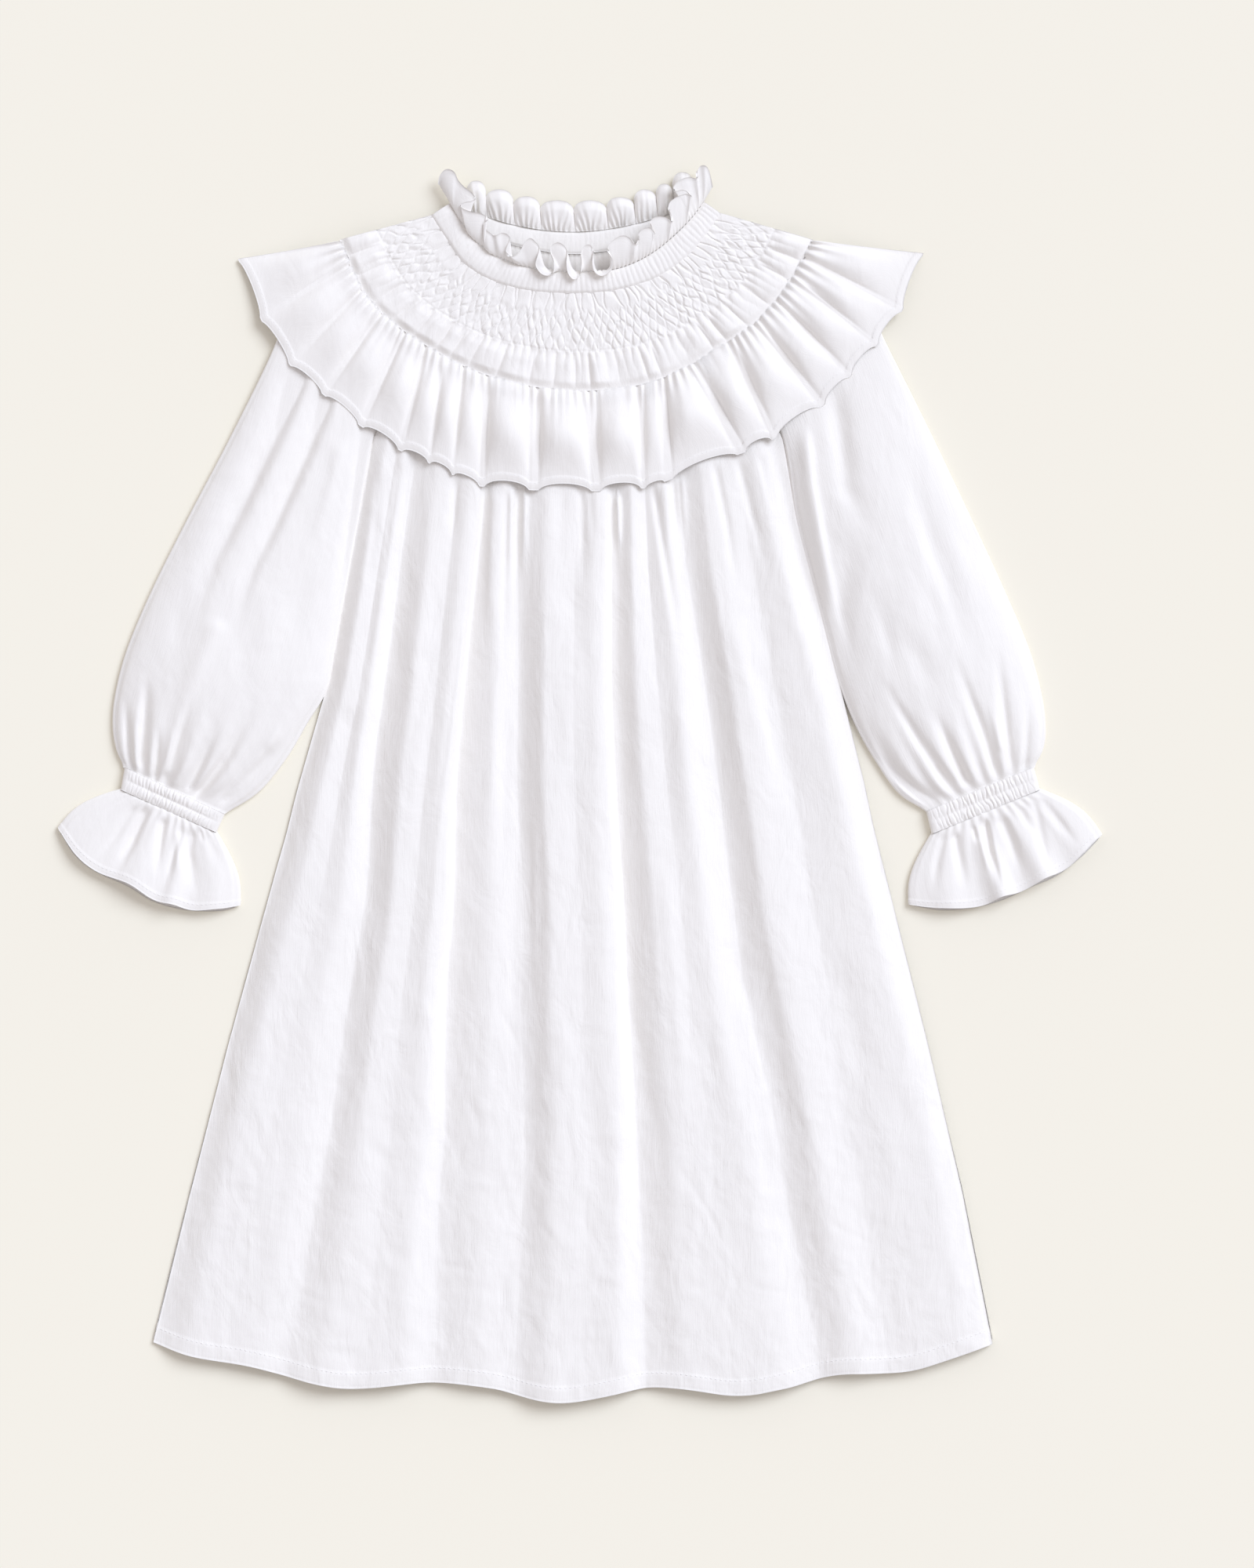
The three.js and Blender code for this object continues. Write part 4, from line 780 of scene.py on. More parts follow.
def smocking(arc, down, depth):
    """Shirred relief: long uneven ridges at the band, honeycomb between the stitched rows, gathers released
    below"""
    first_row, last_row = SMOCK_ROWS[0], SMOCK_ROWS[-1]
    drift = 1.2 * noise(arc / 12, down * 3, 71) + 0.7 * noise(arc / 5, down * 8, 72)
    row = (down - first_row) / (SMOCK_ROWS[1] - first_row) + 0.9 * noise(arc / 6, 0.5, 77)
    loose = arc + 0.9 * drift + 0.9 * noise(arc / 2.2, down * 14, 80)
    away = crease_distance(loose / SMOCK_PITCH, row)
    honeycomb = np.clip(away / 0.42, 0, 1) ** 0.7 * (0.75 + 0.5 * noise(arc / 2.7, row * 1.3, 76))
    sinuous = arc + 2.4 * drift + 1.2 * noise(arc / 3.4, down * 7, 82)
    away = crease_distance(sinuous / BAND_RIDGE_PITCH, down * 2.4 + 1.2 * noise(arc / 6, 0.5, 78))
    long_ridge = np.clip(away / 0.3, 0, 1) ** 0.6 * (0.8 + 0.3 * noise(arc / 7, down * 9, 74))
    top = 1 - smooth((down - first_row + 0.04) / 0.09)
    below = smooth((down - last_row + 0.01) / 0.05)
    reach = np.maximum(down - last_row, 0)
    wander = arc + 5 * noise(arc / 15, down * 1.2, 73)
    released = np.abs(np.cos(np.pi * wander / RELEASED_PITCH)) ** 0.7
    released *= 0.35 + 0.65 * (0.5 + 0.5 * noise(wander / RELEASED_PITCH, 0.5, 79))
    released *= RELEASED_RISE * smooth(reach / 0.15)
    fine = np.abs(np.cos(np.pi * (arc + 0.9 * drift) / (1.6 * SMOCK_PITCH)))
    fine *= FINE_GATHER_RISE * np.exp(-reach * 7)
    relief = top * long_ridge * BAND_RIDGE_RISE + (1 - top) * (1 - below) * honeycomb * SMOCK_RISE
    relief += below * (released + fine + 0.6 * noise(arc / 7, down * 5, 75))
    stitched = np.exp(-(((down - last_row) * depth / 0.5) ** 2))
    at_seam = smooth((down - 0.91) / 0.08)
    return relief * (1 - 0.8 * at_seam) - 0.25 * stitched


def yoke_front():
    down, along = grid_shares(*YOKE_GRID)
    band, seam = BAND_OUTER.point(along, -0.9), YOKE_SEAM.point(along)
    depth = np.linalg.norm(seam - band, axis=-1)
    arc = along * lerp(BAND_OUTER.length, YOKE_SEAM.length, 0.5)
    z = yoke_under(along, down) + YOKE_TOP + smocking(arc, down, depth)
    z -= 0.6 * smooth((down - 0.9) / 0.1) + 0.4 * (1 - smooth(down / 0.03))
    return shell("yoke_front_cloth", on_grid(lerp(band, seam, down[..., None]), z), CLOTH, inside=(5, 4))


def yoke_back():
    down, along = grid_shares(*BACK_YOKE_GRID)
    xy = lerp(BACK_BAND_OUTER.point(along, SEAM_GAP), YOKE_SEAM.point(along), down[..., None])
    arc = along * lerp(BACK_BAND_OUTER.length, YOKE_SEAM.length, 0.5)
    ribs = np.abs(np.cos(np.pi * (arc + 0.8 * noise(arc / 8, down * 4, 81)) / 4.2))
    z = CLOTH + 0.2 + 0.5 * ribs * (1 - smooth((down - 0.6) / 0.2))
    return shell("yoke_back_cloth", on_grid(xy, z), CLOTH)


def neckband(name, outer, inner, low, wall, puff, gather_rise, seed, columns):
    up, along = grid_shares(NECKBAND_ROWS, columns)
    xy = lerp(outer.point(along), inner.point(along), up[..., None])
    arc = along * outer.length
    gather = np.abs(np.cos(np.pi * (arc + 0.7 * noise(arc / 5, up * 1.5, seed)) / 2.9)) ** 1.2
    z = low(along) + wall + puff * arch(up, 0.7) + gather_rise * gather * (0.5 + 0.5 * arch(up, 0.5))
    z += 0.25 * noise(arc / 8, up, seed + 1)
    z = np.maximum(z - 0.8 * (1 - smooth(np.minimum(up, 1 - up) / 0.09)), CLOTH + 0.1)
    return shell(name, on_grid(xy[::-1], z[::-1])[::-1], CLOTH)


# Free edge of the front frill, left to right: photograph pixel, height over the neckband in mm, how far the
# cloth below it bulges outwards in mm, and the place of its gathers along the neckband, in pixels
FRILL_RIM = [
    (560, 236, 3, 0.5, 0), (562, 227, 4.5, 1.5, 3), (567, 220.5, 5.5, 2.5, 7), (573, 218.5, 6, 3.4, 11),
    (580, 222, 6.2, 4, 15), (585, 232, 5.6, 4.2, 17), (593, 241, 5.7, 4.2, 24), (601, 247, 5.7, 3, 30),
    (606.5, 254, 5.3, 1, 35), (603, 259, 5.9, 0, 38), (594, 261, 5.9, 0.5, 41),
    (588, 264.5, 5.6, 1.8, 45), (592, 269, 5.9, 4.5, 50), (602, 273, 6.1, 4.5, 57),
    (613, 275, 5.9, 3, 64), (621, 279, 5.3, 1, 70), (621, 285, 6.3, 1.5, 75), (618, 290, 5.6, 5.4, 80),
    (622, 297, 5.8, 5.4, 87), (629, 302, 5.3, 1.5, 93), (634, 303, 6.4, 0.5, 97),
    (641, 300, 5.7, 1.6, 103), (648, 302, 5.7, 1.6, 109), (651, 308, 5.4, 1, 113),
    (648, 316, 5.4, 1.6, 118), (646, 324, 5.3, 1.6, 122), (651, 330, 5.9, 0.5, 127),
    (659, 328, 5.5, 0, 132), (666, 320, 5.3, 0.5, 137), (671, 311, 5.9, 0.5, 142),
    (677, 307, 6.1, 0.5, 147), (683, 311, 5.9, 0.5, 151), (688, 319, 5.3, 0, 155),
    (686, 330, 5.9, 0, 158), (684, 341, 5.5, 0.5, 161), (690, 351, 5.3, 0.6, 165),
    (699, 354.5, 5.3, 0.6, 169), (706, 350, 5.5, 0.5, 172), (707, 338, 5.9, 0, 175),
    (703, 326, 5.3, 0, 178), (704, 317, 5.8, 0, 181), (711, 312.5, 6.1, 0.3, 184),
    (718, 315, 5.9, 0.3, 187), (723, 323, 5.3, 0, 190), (723, 338, 5.9, 0, 193),
    (725, 351, 5.3, 0.5, 196), (732, 359, 5.2, 0.6, 199), (739, 355, 5.3, 0.5, 202),
    (742, 342, 5.9, 0, 205), (741.5, 328, 5.3, 0, 208), (745, 318, 5.8, 0, 211),
    (751, 315, 6.1, 0.3, 214), (756, 320, 5.8, 0, 217), (756, 334, 6.2, 0, 220),
    (758, 348, 5.5, 0.5, 223), (766, 354.5, 5.3, 0.6, 227), (775, 352, 5.4, 0.5, 231),
    (782, 344, 5.7, 0.2, 235), (781, 332, 6.4, 0, 239), (776, 322, 5.3, 0, 243),
    (778, 314, 5.7, 0.3, 247), (786, 307, 5.9, 0.5, 252), (795, 303.5, 6.1, 0.6, 258),
    (804, 307, 5.8, 0.5, 264), (811, 315, 6.4, 0, 270), (815, 309, 5.3, 0, 274),
    (816, 300, 5.8, 0.5, 279), (822, 294.5, 6.1, 0.6, 285), (830, 294, 5.9, 0.6, 290),
    (835, 300, 5.3, 0.2, 295), (832, 293, 5.5, 0.3, 299), (829.5, 286, 5.9, 0.6, 303),
    (835, 280.5, 6.1, 0.8, 308), (843, 279, 5.9, 0.8, 314), (851, 281, 5.5, 0.5, 319),
    (857, 286, 6.2, 0, 324), (857, 279, 5.3, 0.3, 328), (853, 270, 5.8, 0.6, 332),
    (854, 262, 6.1, 0.8, 337), (860, 256, 6.1, 0.8, 342), (868, 252, 5.9, 0.6, 347),
    (876, 250, 5.5, 0.4, 352), (882, 253, 6.2, 0, 356), (877, 247.5, 5.3, 0, 359),
    (870, 245, 5.9, 0.4, 362), (862, 246.5, 6.1, 0.6, 365), (859, 242, 6.1, 0.6, 368),
    (864, 235, 6.2, 0.8, 371), (873, 230, 6.1, 0.8, 375), (882, 229, 5.7, 0.6, 379),
    (889, 230, 6.4, 0.4, 382), (889, 222, 5.3, 1, 384), (893, 215, 5.3, 2, 386),
    (899, 214, 6.2, 2.4, 388), (904, 221, 5, 2, 390), (909, 240, 3, 0, 391)]


FRILL_ROWS = 24
FRILL_COLUMNS = 900


def frill_front():
    rows = np.array(FRILL_RIM, float)
    rim_line = Curve([(*mm(x, y), height) for x, y, height, _, _ in FRILL_RIM])
    at = np.linspace(0, 1, FRILL_COLUMNS)
    knots = rim_line.share[::CURVE_STEPS]
    rim_xy = rim_line.point(at)
    height = np.interp(at, rim_line.share, rim_line.at[:, 2])
    bulge, place = np.interp(at, knots, rows[:, 3]), np.interp(at, knots, rows[:, 4])
    along = place / rows[-1, 4]
    up = np.linspace(0, 1, FRILL_ROWS)[:, None]
    base = BAND_INNER.point(along, -(SEAM_GAP + CLOTH / 2))
    swell = BAND_INNER.point(along, 1) - BAND_INNER.point(along, 0)
    bulged = 0.45 * bulge * np.sin(np.pi * up**0.8)
    xy = lerp(base, rim_xy, (up**1.15)[..., None]) + swell * bulged[..., None]
    arc = along * BAND_INNER.length
    gather = np.cos(2 * np.pi * (arc / 2.3 + 0.3 * noise(arc / 5, 0.5, 91)))
    xy = xy + swell * (0.3 * gather * np.exp(-up * 5))[..., None]
    z = yoke_under(along, 0) + 1.2 + height * np.sin(np.pi / 2 * up**0.7)
    rolled = smooth((up - 0.94) / 0.04) * np.ones_like(z)
    face = on_grid(xy, z)[:, ::-1]
    return shell("neck_frill_front_cloth", face, CLOTH + 0.2 * rolled, lift=0.55 * rolled, inside=(2, 1))


# Lobes of the back frill: photograph pixels where each starts and ends across, and where its top is
BACK_LOBES = [
    (598, 622, 232), (622, 657, 243), (657, 691, 252), (691, 734, 257), (734, 776, 257), (776, 811, 253),
    (811, 839, 243), (839, 860, 236), (860, 886, 221)]


BACK_FRILL_ROWS = 30
BACK_FRILL_COLUMNS = 330


def frill_back():
    lobes = np.array(BACK_LOBES, float)
    lobe, s = fold_columns(lobes[:, 1] - lobes[:, 0], BACK_FRILL_COLUMNS)
    up = np.linspace(0, 1, BACK_FRILL_ROWS)[:, None]
    x = mm(lerp(lobes[lobe, 0], lobes[lobe, 1], s), 0)[0]
    top_y = mm(0, lobes[lobe, 2])[1]
    curve = BACK_BAND_INNER.at
    base_y = np.interp(x, curve[:, 0], curve[:, 1]) + SEAM_GAP
    full = arch(s, 0.5)
    reach = (top_y - base_y) * (0.62 + 0.38 * arch(s, 0.55))
    width = (lobes[lobe, 1] - lobes[lobe, 0]) * PIXEL
    lean = (-0.9 - 0.07 * width * np.sin(2 * np.pi * s)) * up**1.4
    xy = np.stack([x + lean, base_y + reach * up], -1)
    swollen = np.sin(np.pi / 2 * np.minimum(up * 1.3, 1)) * (1 - 0.3 * smooth((up - 0.65) / 0.35))
    z = 1.2 + 4.2 * arch(s, 0.45) * swollen + 0.6 * (1 - up) * full
    splay = (s - 0.5) / (0.62 + 0.5 * up) + 0.5
    pleat = np.cos(2 * np.pi * (width / 3.7) * splay + 2.6 * noise(x / 4.1, up * 1.2, 96))
    z += 1.0 * pleat * np.exp(-up * 2.6) * smooth(up * 9 + 0.2) * full
    z += 0.5 * noise(x / 5, up * 2, 97) * full * smooth(up * 3)
    rolled = smooth((up - 0.94) / 0.04) * np.ones_like(z)
    face = on_grid(xy, np.maximum(z, 0.8))
    return shell("neck_frill_back_cloth", face[:, ::-1], CLOTH + 0.3 * rolled, lift=0.3 * rolled)


# Sleeves and cuffs

SLEEVE_ROWS = 150
SLEEVE_UNDER = 44
SLEEVE_OVER = 96
SLEEVE_SIDE = 3.0
TUBE_CORNER = 1.8
TURN_COLUMNS = 7

# Sections of a sleeve, yoke seam to cuff: points of its outer and inner edge, and for both sleeves the
# height of the underside, the height of the crest and the rise of the pleats at the cuff
SLEEVE_EDGES = {
    "left": [
        ((-125, 283), (-84.4, 230.8)), ((-146, 260), (-96, 206)), ((-163, 221), (-107.7, 181.2)),
        ((-184, 179), (-115.6, 138)), ((-205, 139), (-121.6, 105.5)), ((-224, 101), (-127.3, 74.7)),
        ((-237, 70), (-131.9, 50)), ((-243, 47), (-142.5, 31.5)), ((-244.4, 31), (-153.5, 13)),
        ((-242.5, 18), (-168, -4.5)), ((-238.3, 9.2), (-185.4, -15.4))],
    "right": [
        ((121.6, 283), (78.3, 231.4)), ((144, 261), (92.2, 205.7)), ((163, 224), (106.1, 180)),
        ((183, 184), (113.1, 138)), ((203, 142), (121, 107.3)), ((222, 101), (128.4, 78.2)),
        ((235, 70), (134.4, 55)), ((241.5, 46), (143.2, 32)), ((243.5, 29), (154, 12.5)),
        ((242, 17.5), (166.5, -5)), ((237.3, 9.2), (180.8, -14))]}
SLEEVE_HEIGHTS = [
    (1.5, 4.9, 0), (1.5, 5.6, 0), (1.5, 7.4, 0), (0, 10.5, 0), (0, 12, 0), (0, 13, 0), (0, 13.5, 0),
    (0, 13, 0.2), (0, 12, 0.8), (0, 9.5, 1.3), (0, 5.6, 0.8)]

# Creases of the sleeves, as creased reads them
SLEEVE_CREASES = {
    "left": [
        (3.8, 7.5, -4.8, 397, 450, 360, 541, 317, 633, 273, 721, 238, 830),
        (3.4, 7, -4.6, 430, 480, 394, 575, 351, 672, 322, 730, 290, 840),
        (3.4, 3.4, -5.2, 478, 490, 467, 561, 456, 640, 441, 720, 428, 800),
        (5, 6, 1.8, 283, 789, 254, 856, 226, 930), (4, 4, 1.4, 440, 560, 420, 640, 390, 720),
        (2.2, 3, -2.6, 181, 983, 191, 845), (1.4, 1.8, -2.4, 198, 1000, 206, 920),
        (1.8, 2.6, -3.2, 206, 1008, 226, 950, 252, 880), (2.2, 2.6, -2.8, 239, 1014, 284, 924),
        (2.2, 3.4, -2.8, 245, 1022, 292, 965, 330, 900), (2.4, 3, -2.4, 278, 1029, 378, 932),
        (1.6, 2, -2, 297, 1036, 402, 950), (1.6, 2, -2, 167, 985, 160, 880),
        (1.8, 1.8, 1.2, 176, 985, 176, 900), (1.6, 1.6, 1.2, 212, 990, 226, 930),
        (8, 8, -1.4, 330, 760, 300, 900), (7, 7, -1.4, 395, 700, 360, 860),
        (8, 8, -1.2, 250, 640, 190, 780), (4, 4, 1, 340, 960, 402, 870), (7, 4, -1, 236, 740, 222, 870)],
    "right": [
        (5.5, 5.5, -3.2, 1062, 480, 1072, 560, 1080, 624, 1120, 701),
        (7, 5, -2.6, 1140, 546, 1184, 682, 1232, 818, 1262, 880),
        (6.5, 5.5, -2.8, 1090, 660, 1070, 780, 1086, 895),
        (2.8, 2.4, -3.2, 1222, 1010, 1174, 950, 1120, 860), (2.6, 2, -2.8, 1237, 1004, 1188, 905),
        (3, 2.4, -3, 1273, 996, 1251, 930, 1213, 827), (2.8, 2.2, -2.6, 1290, 990, 1281, 915, 1271, 820),
        (2, 2, -2.2, 1306, 986, 1312, 895), (3.4, 3, -2.8, 1202, 1028, 1140, 987, 1101, 915),
        (2, 2, -2, 1190, 1036, 1116, 964),
        (2.6, 5, 3, 1026, 540, 1034, 620, 1048, 700, 1066, 790, 1090, 880),
        (6, 6, -1.4, 1150, 800, 1200, 900), (8, 8, -1.2, 1210, 640, 1270, 760),
        (7, 4, -1.4, 1110, 740, 1150, 880), (2, 2, 1.2, 1196, 980, 1160, 930),
        (1.6, 1.6, 1.2, 1276, 960, 1262, 900), (7, 5, -1.2, 1170, 700, 1210, 860)]}


def follow(values, stops, at):
    """Smooth curve through a table's values"""
    knots = np.linspace(0, 1, len(stops))
    dense = Curve([(k * 100, v) for k, v in zip(knots, values)])
    return np.interp(np.interp(at, stops, knots) * 100, dense.at[:, 0], dense.at[:, 1])


def tube_section(width, low, edge, height, count_under, count_top):
    """Places across and heights round a flattened tube, as columns: underside, far side, top, near side. The
    third result is 0 on the underside, 1 on the top and a half at the sides."""
    turn = np.linspace(0, np.pi, TURN_COLUMNS + 2)[1:-1]
    under, over = np.linspace(0, 1, count_under), np.linspace(1, 0, count_top)
    middle = low + REST_LIFT + edge / 2
    parts = [
        (lerp(TUBE_CORNER, width - TUBE_CORNER, under), low + REST_LIFT, 0),
        (width - TUBE_CORNER + TUBE_CORNER * np.sin(turn), middle - edge / 2 * np.cos(turn), 0.5),
        (lerp(TUBE_CORNER, width - TUBE_CORNER, over), height(over), 1),
        (TUBE_CORNER - TUBE_CORNER * np.sin(turn), middle + edge / 2 * np.cos(turn), 0.5)]
    sides = [np.broadcast_arrays(across, z, top, np.zeros_like(width)) for across, z, top in parts]
    return (np.concatenate(values, axis=1) for values in list(zip(*sides))[:3])


def sleeve(name, edges, creases, seed):
    outer_edge, inner_edge = column(edges, 0), column(edges, 1)
    steps = sum(np.linalg.norm(np.diff(edge, axis=0), axis=1) for edge in (outer_edge, inner_edge))
    stops = np.concatenate([[0], np.cumsum(steps)]) / steps.sum()
    down = np.linspace(0, 1, SLEEVE_ROWS)
    outer, inner = (np.stack([follow(edge[:, k], stops, down) for k in (0, 1)], -1)
                    for edge in (outer_edge, inner_edge))
    low = np.interp(down, stops, column(SLEEVE_HEIGHTS, 0))[:, None]
    crest = follow(column(SLEEVE_HEIGHTS, 1), stops, down)[:, None]
    pleats = np.interp(down, stops, column(SLEEVE_HEIGHTS, 2))[:, None]
    width = np.linalg.norm(inner - outer, axis=1)[:, None]

    def height(a):
        top = low + SLEEVE_SIDE + REST_LIFT
        pleat = np.cos(2 * np.pi * (8 * a + 0.25 * noise(a * 6, 0.5, seed)))
        return top + (crest - top) * arch(a, 0.55) + pleats * 0.8 * (pleat - 0.3) * arch(a, 0.7)

    across, z, top = tube_section(width, low, SLEEVE_SIDE, height, SLEEVE_UNDER, SLEEVE_OVER)
    xy = lerp(outer[:, None], inner[:, None], (across / width)[..., None])
    xy[0] = YOKE_SEAM.point(YOKE_SEAM.share_at_x(xy[0, :, 0]), SEAM_GAP)
    shade = creased(xy, creases, True) + crinkle(xy, seed + 3, 12, 0.16) + crinkle(xy, seed + 6, 5, 0.06)
    side = low + SLEEVE_SIDE
    z = np.maximum(z + shade * top * smooth((z - side) / 3), np.minimum(z, side + 0.3))
    under = np.maximum(noise(xy[..., 0] / 16, xy[..., 1] / 45, seed + 8), 0) * 0.7
    z = z + under * (top == 0) * smooth(np.minimum(across, width - across) / 12)
    tucked = smooth((down - 0.985) / 0.015)[:, None]
    toward = (outer[-1] + inner[-1] - outer[-2] - inner[-2]) / 2
    xy = xy + (toward / np.linalg.norm(toward) * TUCK) * tucked[..., None]
    z = lerp(z, np.clip(z, 0.9, 4.9), tucked)
    return shell(name, on_grid(xy, z), CLOTH, loop=True, inside=(3, 1))


# Outer and inner end of each cuff at its top and bottom, and the hem of its ruffle, outer end to inner end;
# folds of the ruffle, as the place of the crest, its half width and its rise at the hem; and the creases
# of the ruffle, as creased reads them
CUFFS = {
    "left": dict(
        top=((-237.9, 8.8), (-185.5, -15.8)), bottom=((-240, -3), (-189.9, -25.4)),
        hem=Curve([(-273.1, -23), (-264.5, -36.9), (-253.4, -45.9), (-237, -53.3), (-223, -61.5),
                   (-206, -66), (-188, -66.4), (-177.5, -63.6)]),
        folds=[(0.14, 0.13, 2.4), (0.47, 0.14, 5.0), (0.68, 0.06, 4.2), (0.9, 0.09, 3.4)],
        creases=[
            (2.2, 4, -3.6, 190, 1028, 170, 1075, 146, 1120),
            (2.4, 2.4, -2, 174, 1026, 152, 1062, 120, 1100),
            (2, 2.4, -2.6, 211, 1042, 206, 1075, 200, 1120),
            (1.8, 1.8, -1.6, 235, 1052, 220, 1100, 208, 1146),
            (2.8, 3.4, -3.4, 247, 1056, 243, 1088, 252, 1150), (1.2, 1.2, -1.4, 256, 1058, 261, 1078),
            (2.6, 2.6, -1.4, 268, 1064, 284, 1110), (1.6, 1.6, 1.2, 228, 1060, 226, 1120)]),
    "right": dict(
        top=((237.1, 8.8), (180.9, -14.4)), bottom=((240.4, -3), (183.8, -26.2)),
        hem=Curve([(273.1, -26.7), (263, -37.4), (250, -47.6), (236, -54), (219.4, -61.3), (204, -65),
                   (188, -66), (171.8, -63.1)]),
        folds=[(0.09, 0.09, 2.8), (0.33, 0.07, 4.6), (0.56, 0.06, 5.2), (0.84, 0.1, 3.4)],
        creases=[
            (2.6, 2.6, -2.4, 1204, 1062, 1194, 1100, 1190, 1140),
            (2.4, 2.8, -3.2, 1218, 1060, 1222, 1085, 1234, 1140), (1.4, 1.4, -1.8, 1240, 1054, 1247, 1080),
            (1.6, 3.2, -4, 1256, 1042, 1263, 1085, 1278, 1140),
            (2.6, 3, -3.4, 1275, 1040, 1290, 1075, 1304, 1130), (2, 2, -1.4, 1300, 1030, 1316, 1060),
            (1.8, 2.4, -2, 1318, 1018, 1328, 1060, 1338, 1110),
            (2.4, 3, -2.4, 1326, 1014, 1352, 1050, 1378, 1084), (1.4, 1.4, 1.2, 1250, 1070, 1262, 1120)]),
}
CUFF_RIBS = 25
CUFF_ROWS = 26
CUFF_UNDER = 60
CUFF_OVER = 240
CUFF_SIDE = 4.85
CUFF_TOP = 5.2
RIB_RISE = 1.15
CHANNEL_RISE = 0.9


def cuff(name, side, seed):
    down = np.linspace(0, 1, CUFF_ROWS)[:, None]
    top_edge, bottom_edge = np.array(side["top"], float), np.array(side["bottom"], float)
    outer, inner = (lerp(top_edge[k], bottom_edge[k], down) for k in (0, 1))
    width = np.linalg.norm(inner - outer, axis=1)[:, None]
    channel = np.abs(np.sin(2 * np.pi * down)) ** 0.6

    def height(t):
        lean = np.where(down < 0.5, 0.5, 0.75) * down
        wander = CUFF_RIBS * t + lean + 0.45 * noise(t * 30, down * 3 + 0.5, seed)
        rib = np.abs(np.cos(np.pi * wander)) ** 0.6 * (0.75 + 0.35 * noise(wander, down * 2, seed + 1))
        full = arch(t, 0.5)
        puffed = lerp(CUFF_TOP, CUFF_TOP + 0.2 + CHANNEL_RISE * channel, full)
        return puffed + (RIB_RISE * rib - 0.3) * full * (0.3 + 0.7 * channel)

    across, z, top = tube_section(width, 0 * width, CUFF_SIDE, height, CUFF_UNDER, CUFF_OVER)
    xy = lerp(outer[:, None], inner[:, None], (across / width)[..., None])
    z = z + (top == 0) * 0.35 * np.abs(np.cos(np.pi * across / width * CUFF_RIBS))
    return shell(name, on_grid(xy, z), CLOTH, loop=True)


CUFF_RUFFLE_LENGTH = 40
CUFF_RUFFLE_SIDE = 3.2
CUFF_RUFFLE_ROWS = 34
CUFF_RUFFLE_UNDER = 60
CUFF_RUFFLE_OVER = 170
CUFF_RUFFLE_SPREAD = 5


def cuff_ruffle(name, side, seed):
    band = 1 - RUFFLE_HEM_BAND / CUFF_RUFFLE_LENGTH
    down = hem_rows(CUFF_RUFFLE_ROWS, band, RUFFLE_HEM_STEPS, 4)[:, None]
    start, end = np.array(side["bottom"], float)
    width = float(np.linalg.norm(end - start))
    into = np.sum(side["top"], axis=0) - np.sum(side["bottom"], axis=0)

    def fold_rise(a):
        return sum(rise * np.exp(-(((a - at) / half) ** 2)) for at, half, rise in side["folds"])

    def height(a):
        gather = np.cos(2 * np.pi * (13 * a + 0.3 * noise(a * 9, 0.5, seed)))
        hem = 4.6 + fold_rise(a) + 0.3 * noise(a * 14, 1.5, seed + 1)
        z = lerp(5.6, hem, smooth(0.12 + down * 0.88))
        z = z + 0.5 * gather * np.exp(-down * 4.5) * smooth(down * 12 + 0.2)
        return lerp(3.7, z, arch(a, 0.4))

    across, z, top = tube_section(np.full_like(down, width), 0 * down, CUFF_RUFFLE_SIDE, height,
                                  CUFF_RUFFLE_UNDER, CUFF_RUFFLE_OVER)
    a = across / width
    seam = lerp(start, end, a[..., None]) + 0.7 * into / np.linalg.norm(into)
    spread = CUFF_RUFFLE_SPREAD * (1 - 2 * a) * np.sin(np.pi * down)
    lift = 1.6 * fold_rise(a) / 5 * top
    reach = down * (1 - lift / CUFF_RUFFLE_LENGTH)
    xy = lerp(seam, side["hem"].point(a), reach[..., None]) + (start - end) / width * spread[..., None]
    creases = creased(xy, side["creases"]) * smooth((z - 4) / 2.5) * smooth(down * 8 + 0.3)
    z = z + (creases + crinkle(xy, seed + 4, 6, 0.07)) * top
    z = z - 1.1 * (1 - smooth(down * CUFF_RUFFLE_LENGTH / 1.4)) * top
    z = np.maximum(z + (top == 0) * 0.5 * np.maximum(noise(a * 9, down * 1.5, seed + 5), 0), 0.1)
    hem_band = smooth((down - band) * CUFF_RUFFLE_LENGTH / 0.6)
    rim = 1 - smooth((1 - down) * CUFF_RUFFLE_LENGTH / 0.9)
    face = on_grid(xy, z)
    obj = shell(name, face, CLOTH + 0.3 * hem_band * (1 - 0.6 * rim), loop=True,
                lift=0.22 * hem_band * (1 - 0.8 * rim))
    row = int(np.argmin(abs(down - (band + 0.03))))
    over = CUFF_RUFFLE_UNDER + TURN_COLUMNS
    return obj, face[row][over:over + CUFF_RUFFLE_OVER] + (0, 0, 0.3)


# Sewing


def stitches(name, lines, spacing, length, radius):
    """Short stitches along lines of points, as one mesh of long octahedra"""
    verts, faces = [], []
    for line in lines:
        steps = np.linalg.norm(np.diff(line, axis=0), axis=1)
        arc = np.concatenate([[0], np.cumsum(steps)])
        for at in np.arange(spacing, arc[-1] - spacing, spacing):
            a, b = (np.array([np.interp(place, arc, line[:, k]) for k in range(3)])
                    for place in (at - length / 2, at + length / 2))
            first = len(verts)
            verts += stitch_points(a, b, radius, length)
            for k in range(6):
                n = (k + 1) % 6
                around = [(0, 1 + n, 1 + k), (1 + k, 1 + n, 7 + k)]
                around += [(1 + n, 7 + n, 7 + k), (7 + k, 7 + n, 13)]
                faces += [[first + corner for corner in face] for face in around]
    verts = (np.array(verts) + (0, CENTRE_Y, 0)) / 1000
    return mesh_object(name, verts, [np.array(faces)])


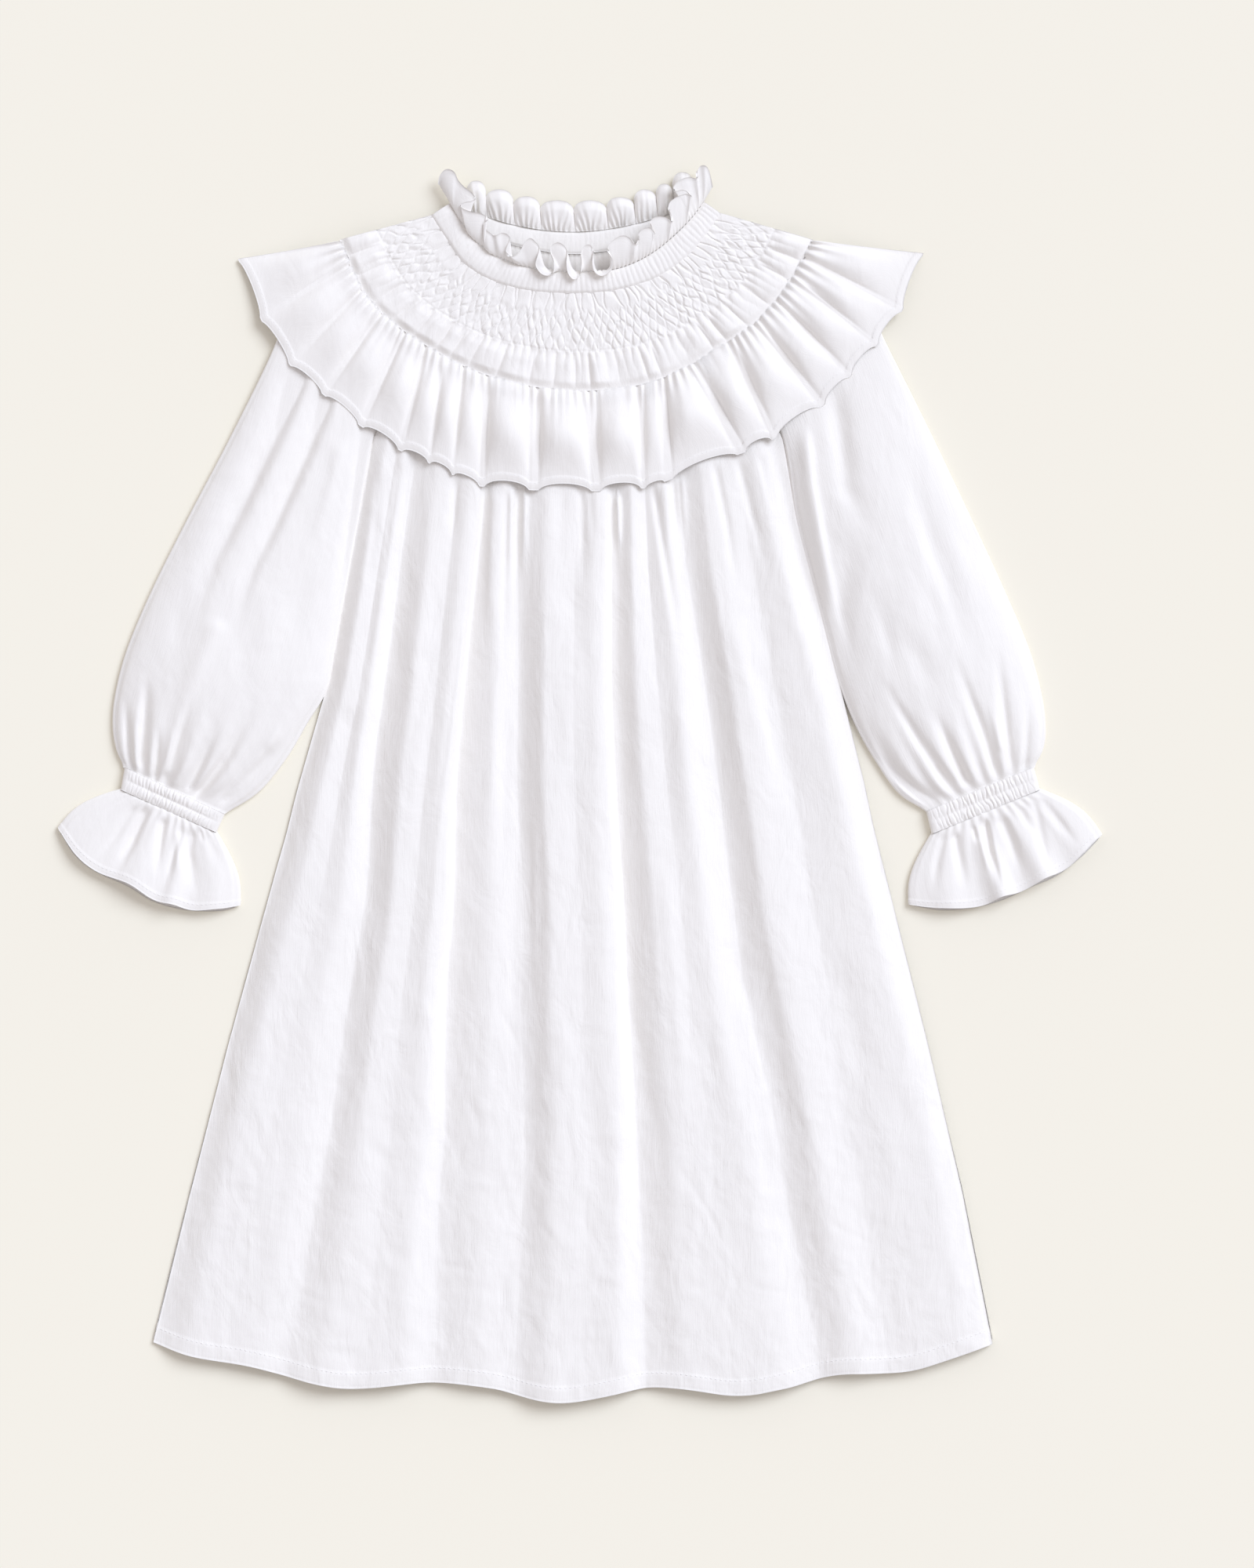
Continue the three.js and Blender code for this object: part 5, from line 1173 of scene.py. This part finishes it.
def stitch_points(a, b, radius, length):
    """A point at each end of a stitch, and two rings of six between them"""
    along = (b - a) / np.linalg.norm(b - a)
    side = np.cross(along, (0, 0, 1.0))
    side /= np.linalg.norm(side)
    up = np.cross(side, along)
    ring = [(a + b) / 2 + radius * (math.cos(t) * side + math.sin(t) * up) + s * along * length * 0.22
            for s in (-1, 1) for t in np.linspace(0, 2 * np.pi, 7)[:-1]]
    return [a] + ring + [b]


# Assembly


def dress_piece(obj, material, node=None):
    """Gives a piece its material and slot, rides it on the body, and stands it for its solid"""
    obj.data.materials.append(material)
    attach(obj, "root")
    if node:
        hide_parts(node)
    return obj


front, hem_line = body_front()
dress_piece(front, COTTON_BODY, "body_front")
back = dress_piece(body_back(), COTTON_BODY, "body_back")
ruffle, ruffle_line = ruffle_front()
dress_piece(ruffle, COTTON_FRILL, "yoke_ruffle_front")
back_ruffle = dress_piece(ruffle_back(), COTTON_FRILL, "yoke_ruffle_back")
yoke = dress_piece(yoke_front(), COTTON_SHIRRED, "yoke_front")
back_yoke = dress_piece(yoke_back(), COTTON_SHIRRED, "yoke_back")
band = neckband("neckband_front_cloth", BAND_OUTER, BAND_INNER, lambda a: yoke_under(a, 0) + CLOTH,
                1.6, 0.8, 0.26, 101, 420)
dress_piece(band, COTTON_SHIRRED, "neckband_front")
back_band = neckband("neckband_back_cloth", BACK_BAND_OUTER, BACK_BAND_INNER, lambda a: 0 * a,
                     0.9, 0.4, 0.08, 105, 300)
dress_piece(back_band, COTTON_SHIRRED, "neckband_back")
frill = dress_piece(frill_front(), COTTON_FRILL, "neck_frill_front")
back_frill = dress_piece(frill_back(), COTTON_FRILL, "neck_frill_back")

SIDES = ("left", "right")
sleeves, cuffs, cuff_ruffles, cuff_lines = [], [], [], []
for index, side in enumerate(SIDES):
    made = sleeve(f"sleeve_{side}_cloth", SLEEVE_EDGES[side], SLEEVE_CREASES[side], 111 + 20 * index)
    sleeves.append(dress_piece(made, COTTON_SLEEVE, f"sleeve_{side}"))
for index, side in enumerate(SIDES):
    made = cuff(f"cuff_{side}_cloth", CUFFS[side], 151 + index)
    cuffs.append(dress_piece(made, COTTON_SHIRRED, f"cuff_{side}"))
    made, line = cuff_ruffle(f"cuff_ruffle_{side}_cloth", CUFFS[side], 161 + 10 * index)
    cuff_ruffles.append(dress_piece(made, COTTON_FRILL, f"cuff_ruffle_{side}"))
    cuff_lines.append(line)

body_stitches = dress_piece(stitches("hem_stitches", [hem_line], 2.6, 1.5, 0.16), THREAD)
ruffle_stitches = dress_piece(stitches("ruffle_stitches", [ruffle_line], 2.4, 1.3, 0.13), THREAD)
cuff_stitches = dress_piece(stitches("cuff_ruffle_stitches", cuff_lines, 2.4, 1.3, 0.13), THREAD)

# Cut of each piece of cloth in metres, widest and longest, its area in square metres, how it is held, what
# it lies on and what is sewn on it
CUTS = [
    (front, (0.46, 0.54), 0.215, "laid", [back], [body_stitches]),
    (back, (0.46, 0.54), 0.2, "laid", [], []),
    (ruffle, (0.54, 0.054), 0.029, "gathered", [front], [ruffle_stitches]),
    (back_ruffle, (0.45, 0.054), 0.024, "gathered", [], []),
    (yoke, (0.3, 0.056), 0.0165, "gathered", [back_yoke], []),
    (back_yoke, (0.3, 0.056), 0.0165, "gathered", [], []),
    (band, (0.2, 0.0135), 0.0026, "gathered", [back_band], []),
    (back_band, (0.16, 0.0127), 0.002, "gathered", [], []),
    (frill, (0.3, 0.015), 0.0044, "gathered", [band], []),
    (back_frill, (0.2, 0.0165), 0.0032, "gathered", [], [])]
CUTS += [(piece, (0.27, 0.31), 0.058, "laid", [], []) for piece in sleeves]
CUTS += [(piece, (0.145, 0.0125), 0.0018, "gathered", [], []) for piece in cuffs]
CUTS += [(piece, (0.235, 0.0425), 0.0098, "gathered", [], sewn)
         for piece, sewn in zip(cuff_ruffles, ([cuff_stitches], []))]
for piece, flat, area, held, below, sewn_on in CUTS:
    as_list(below)
    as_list(sewn_on)

bpy.ops.mesh.primitive_plane_add(size=FLOOR_SIZE, location=(0, 0, -FLOOR_DROP))
floor = bpy.context.object
floor.name = "floor"
floor.data.materials.append(PALE_FLOOR)
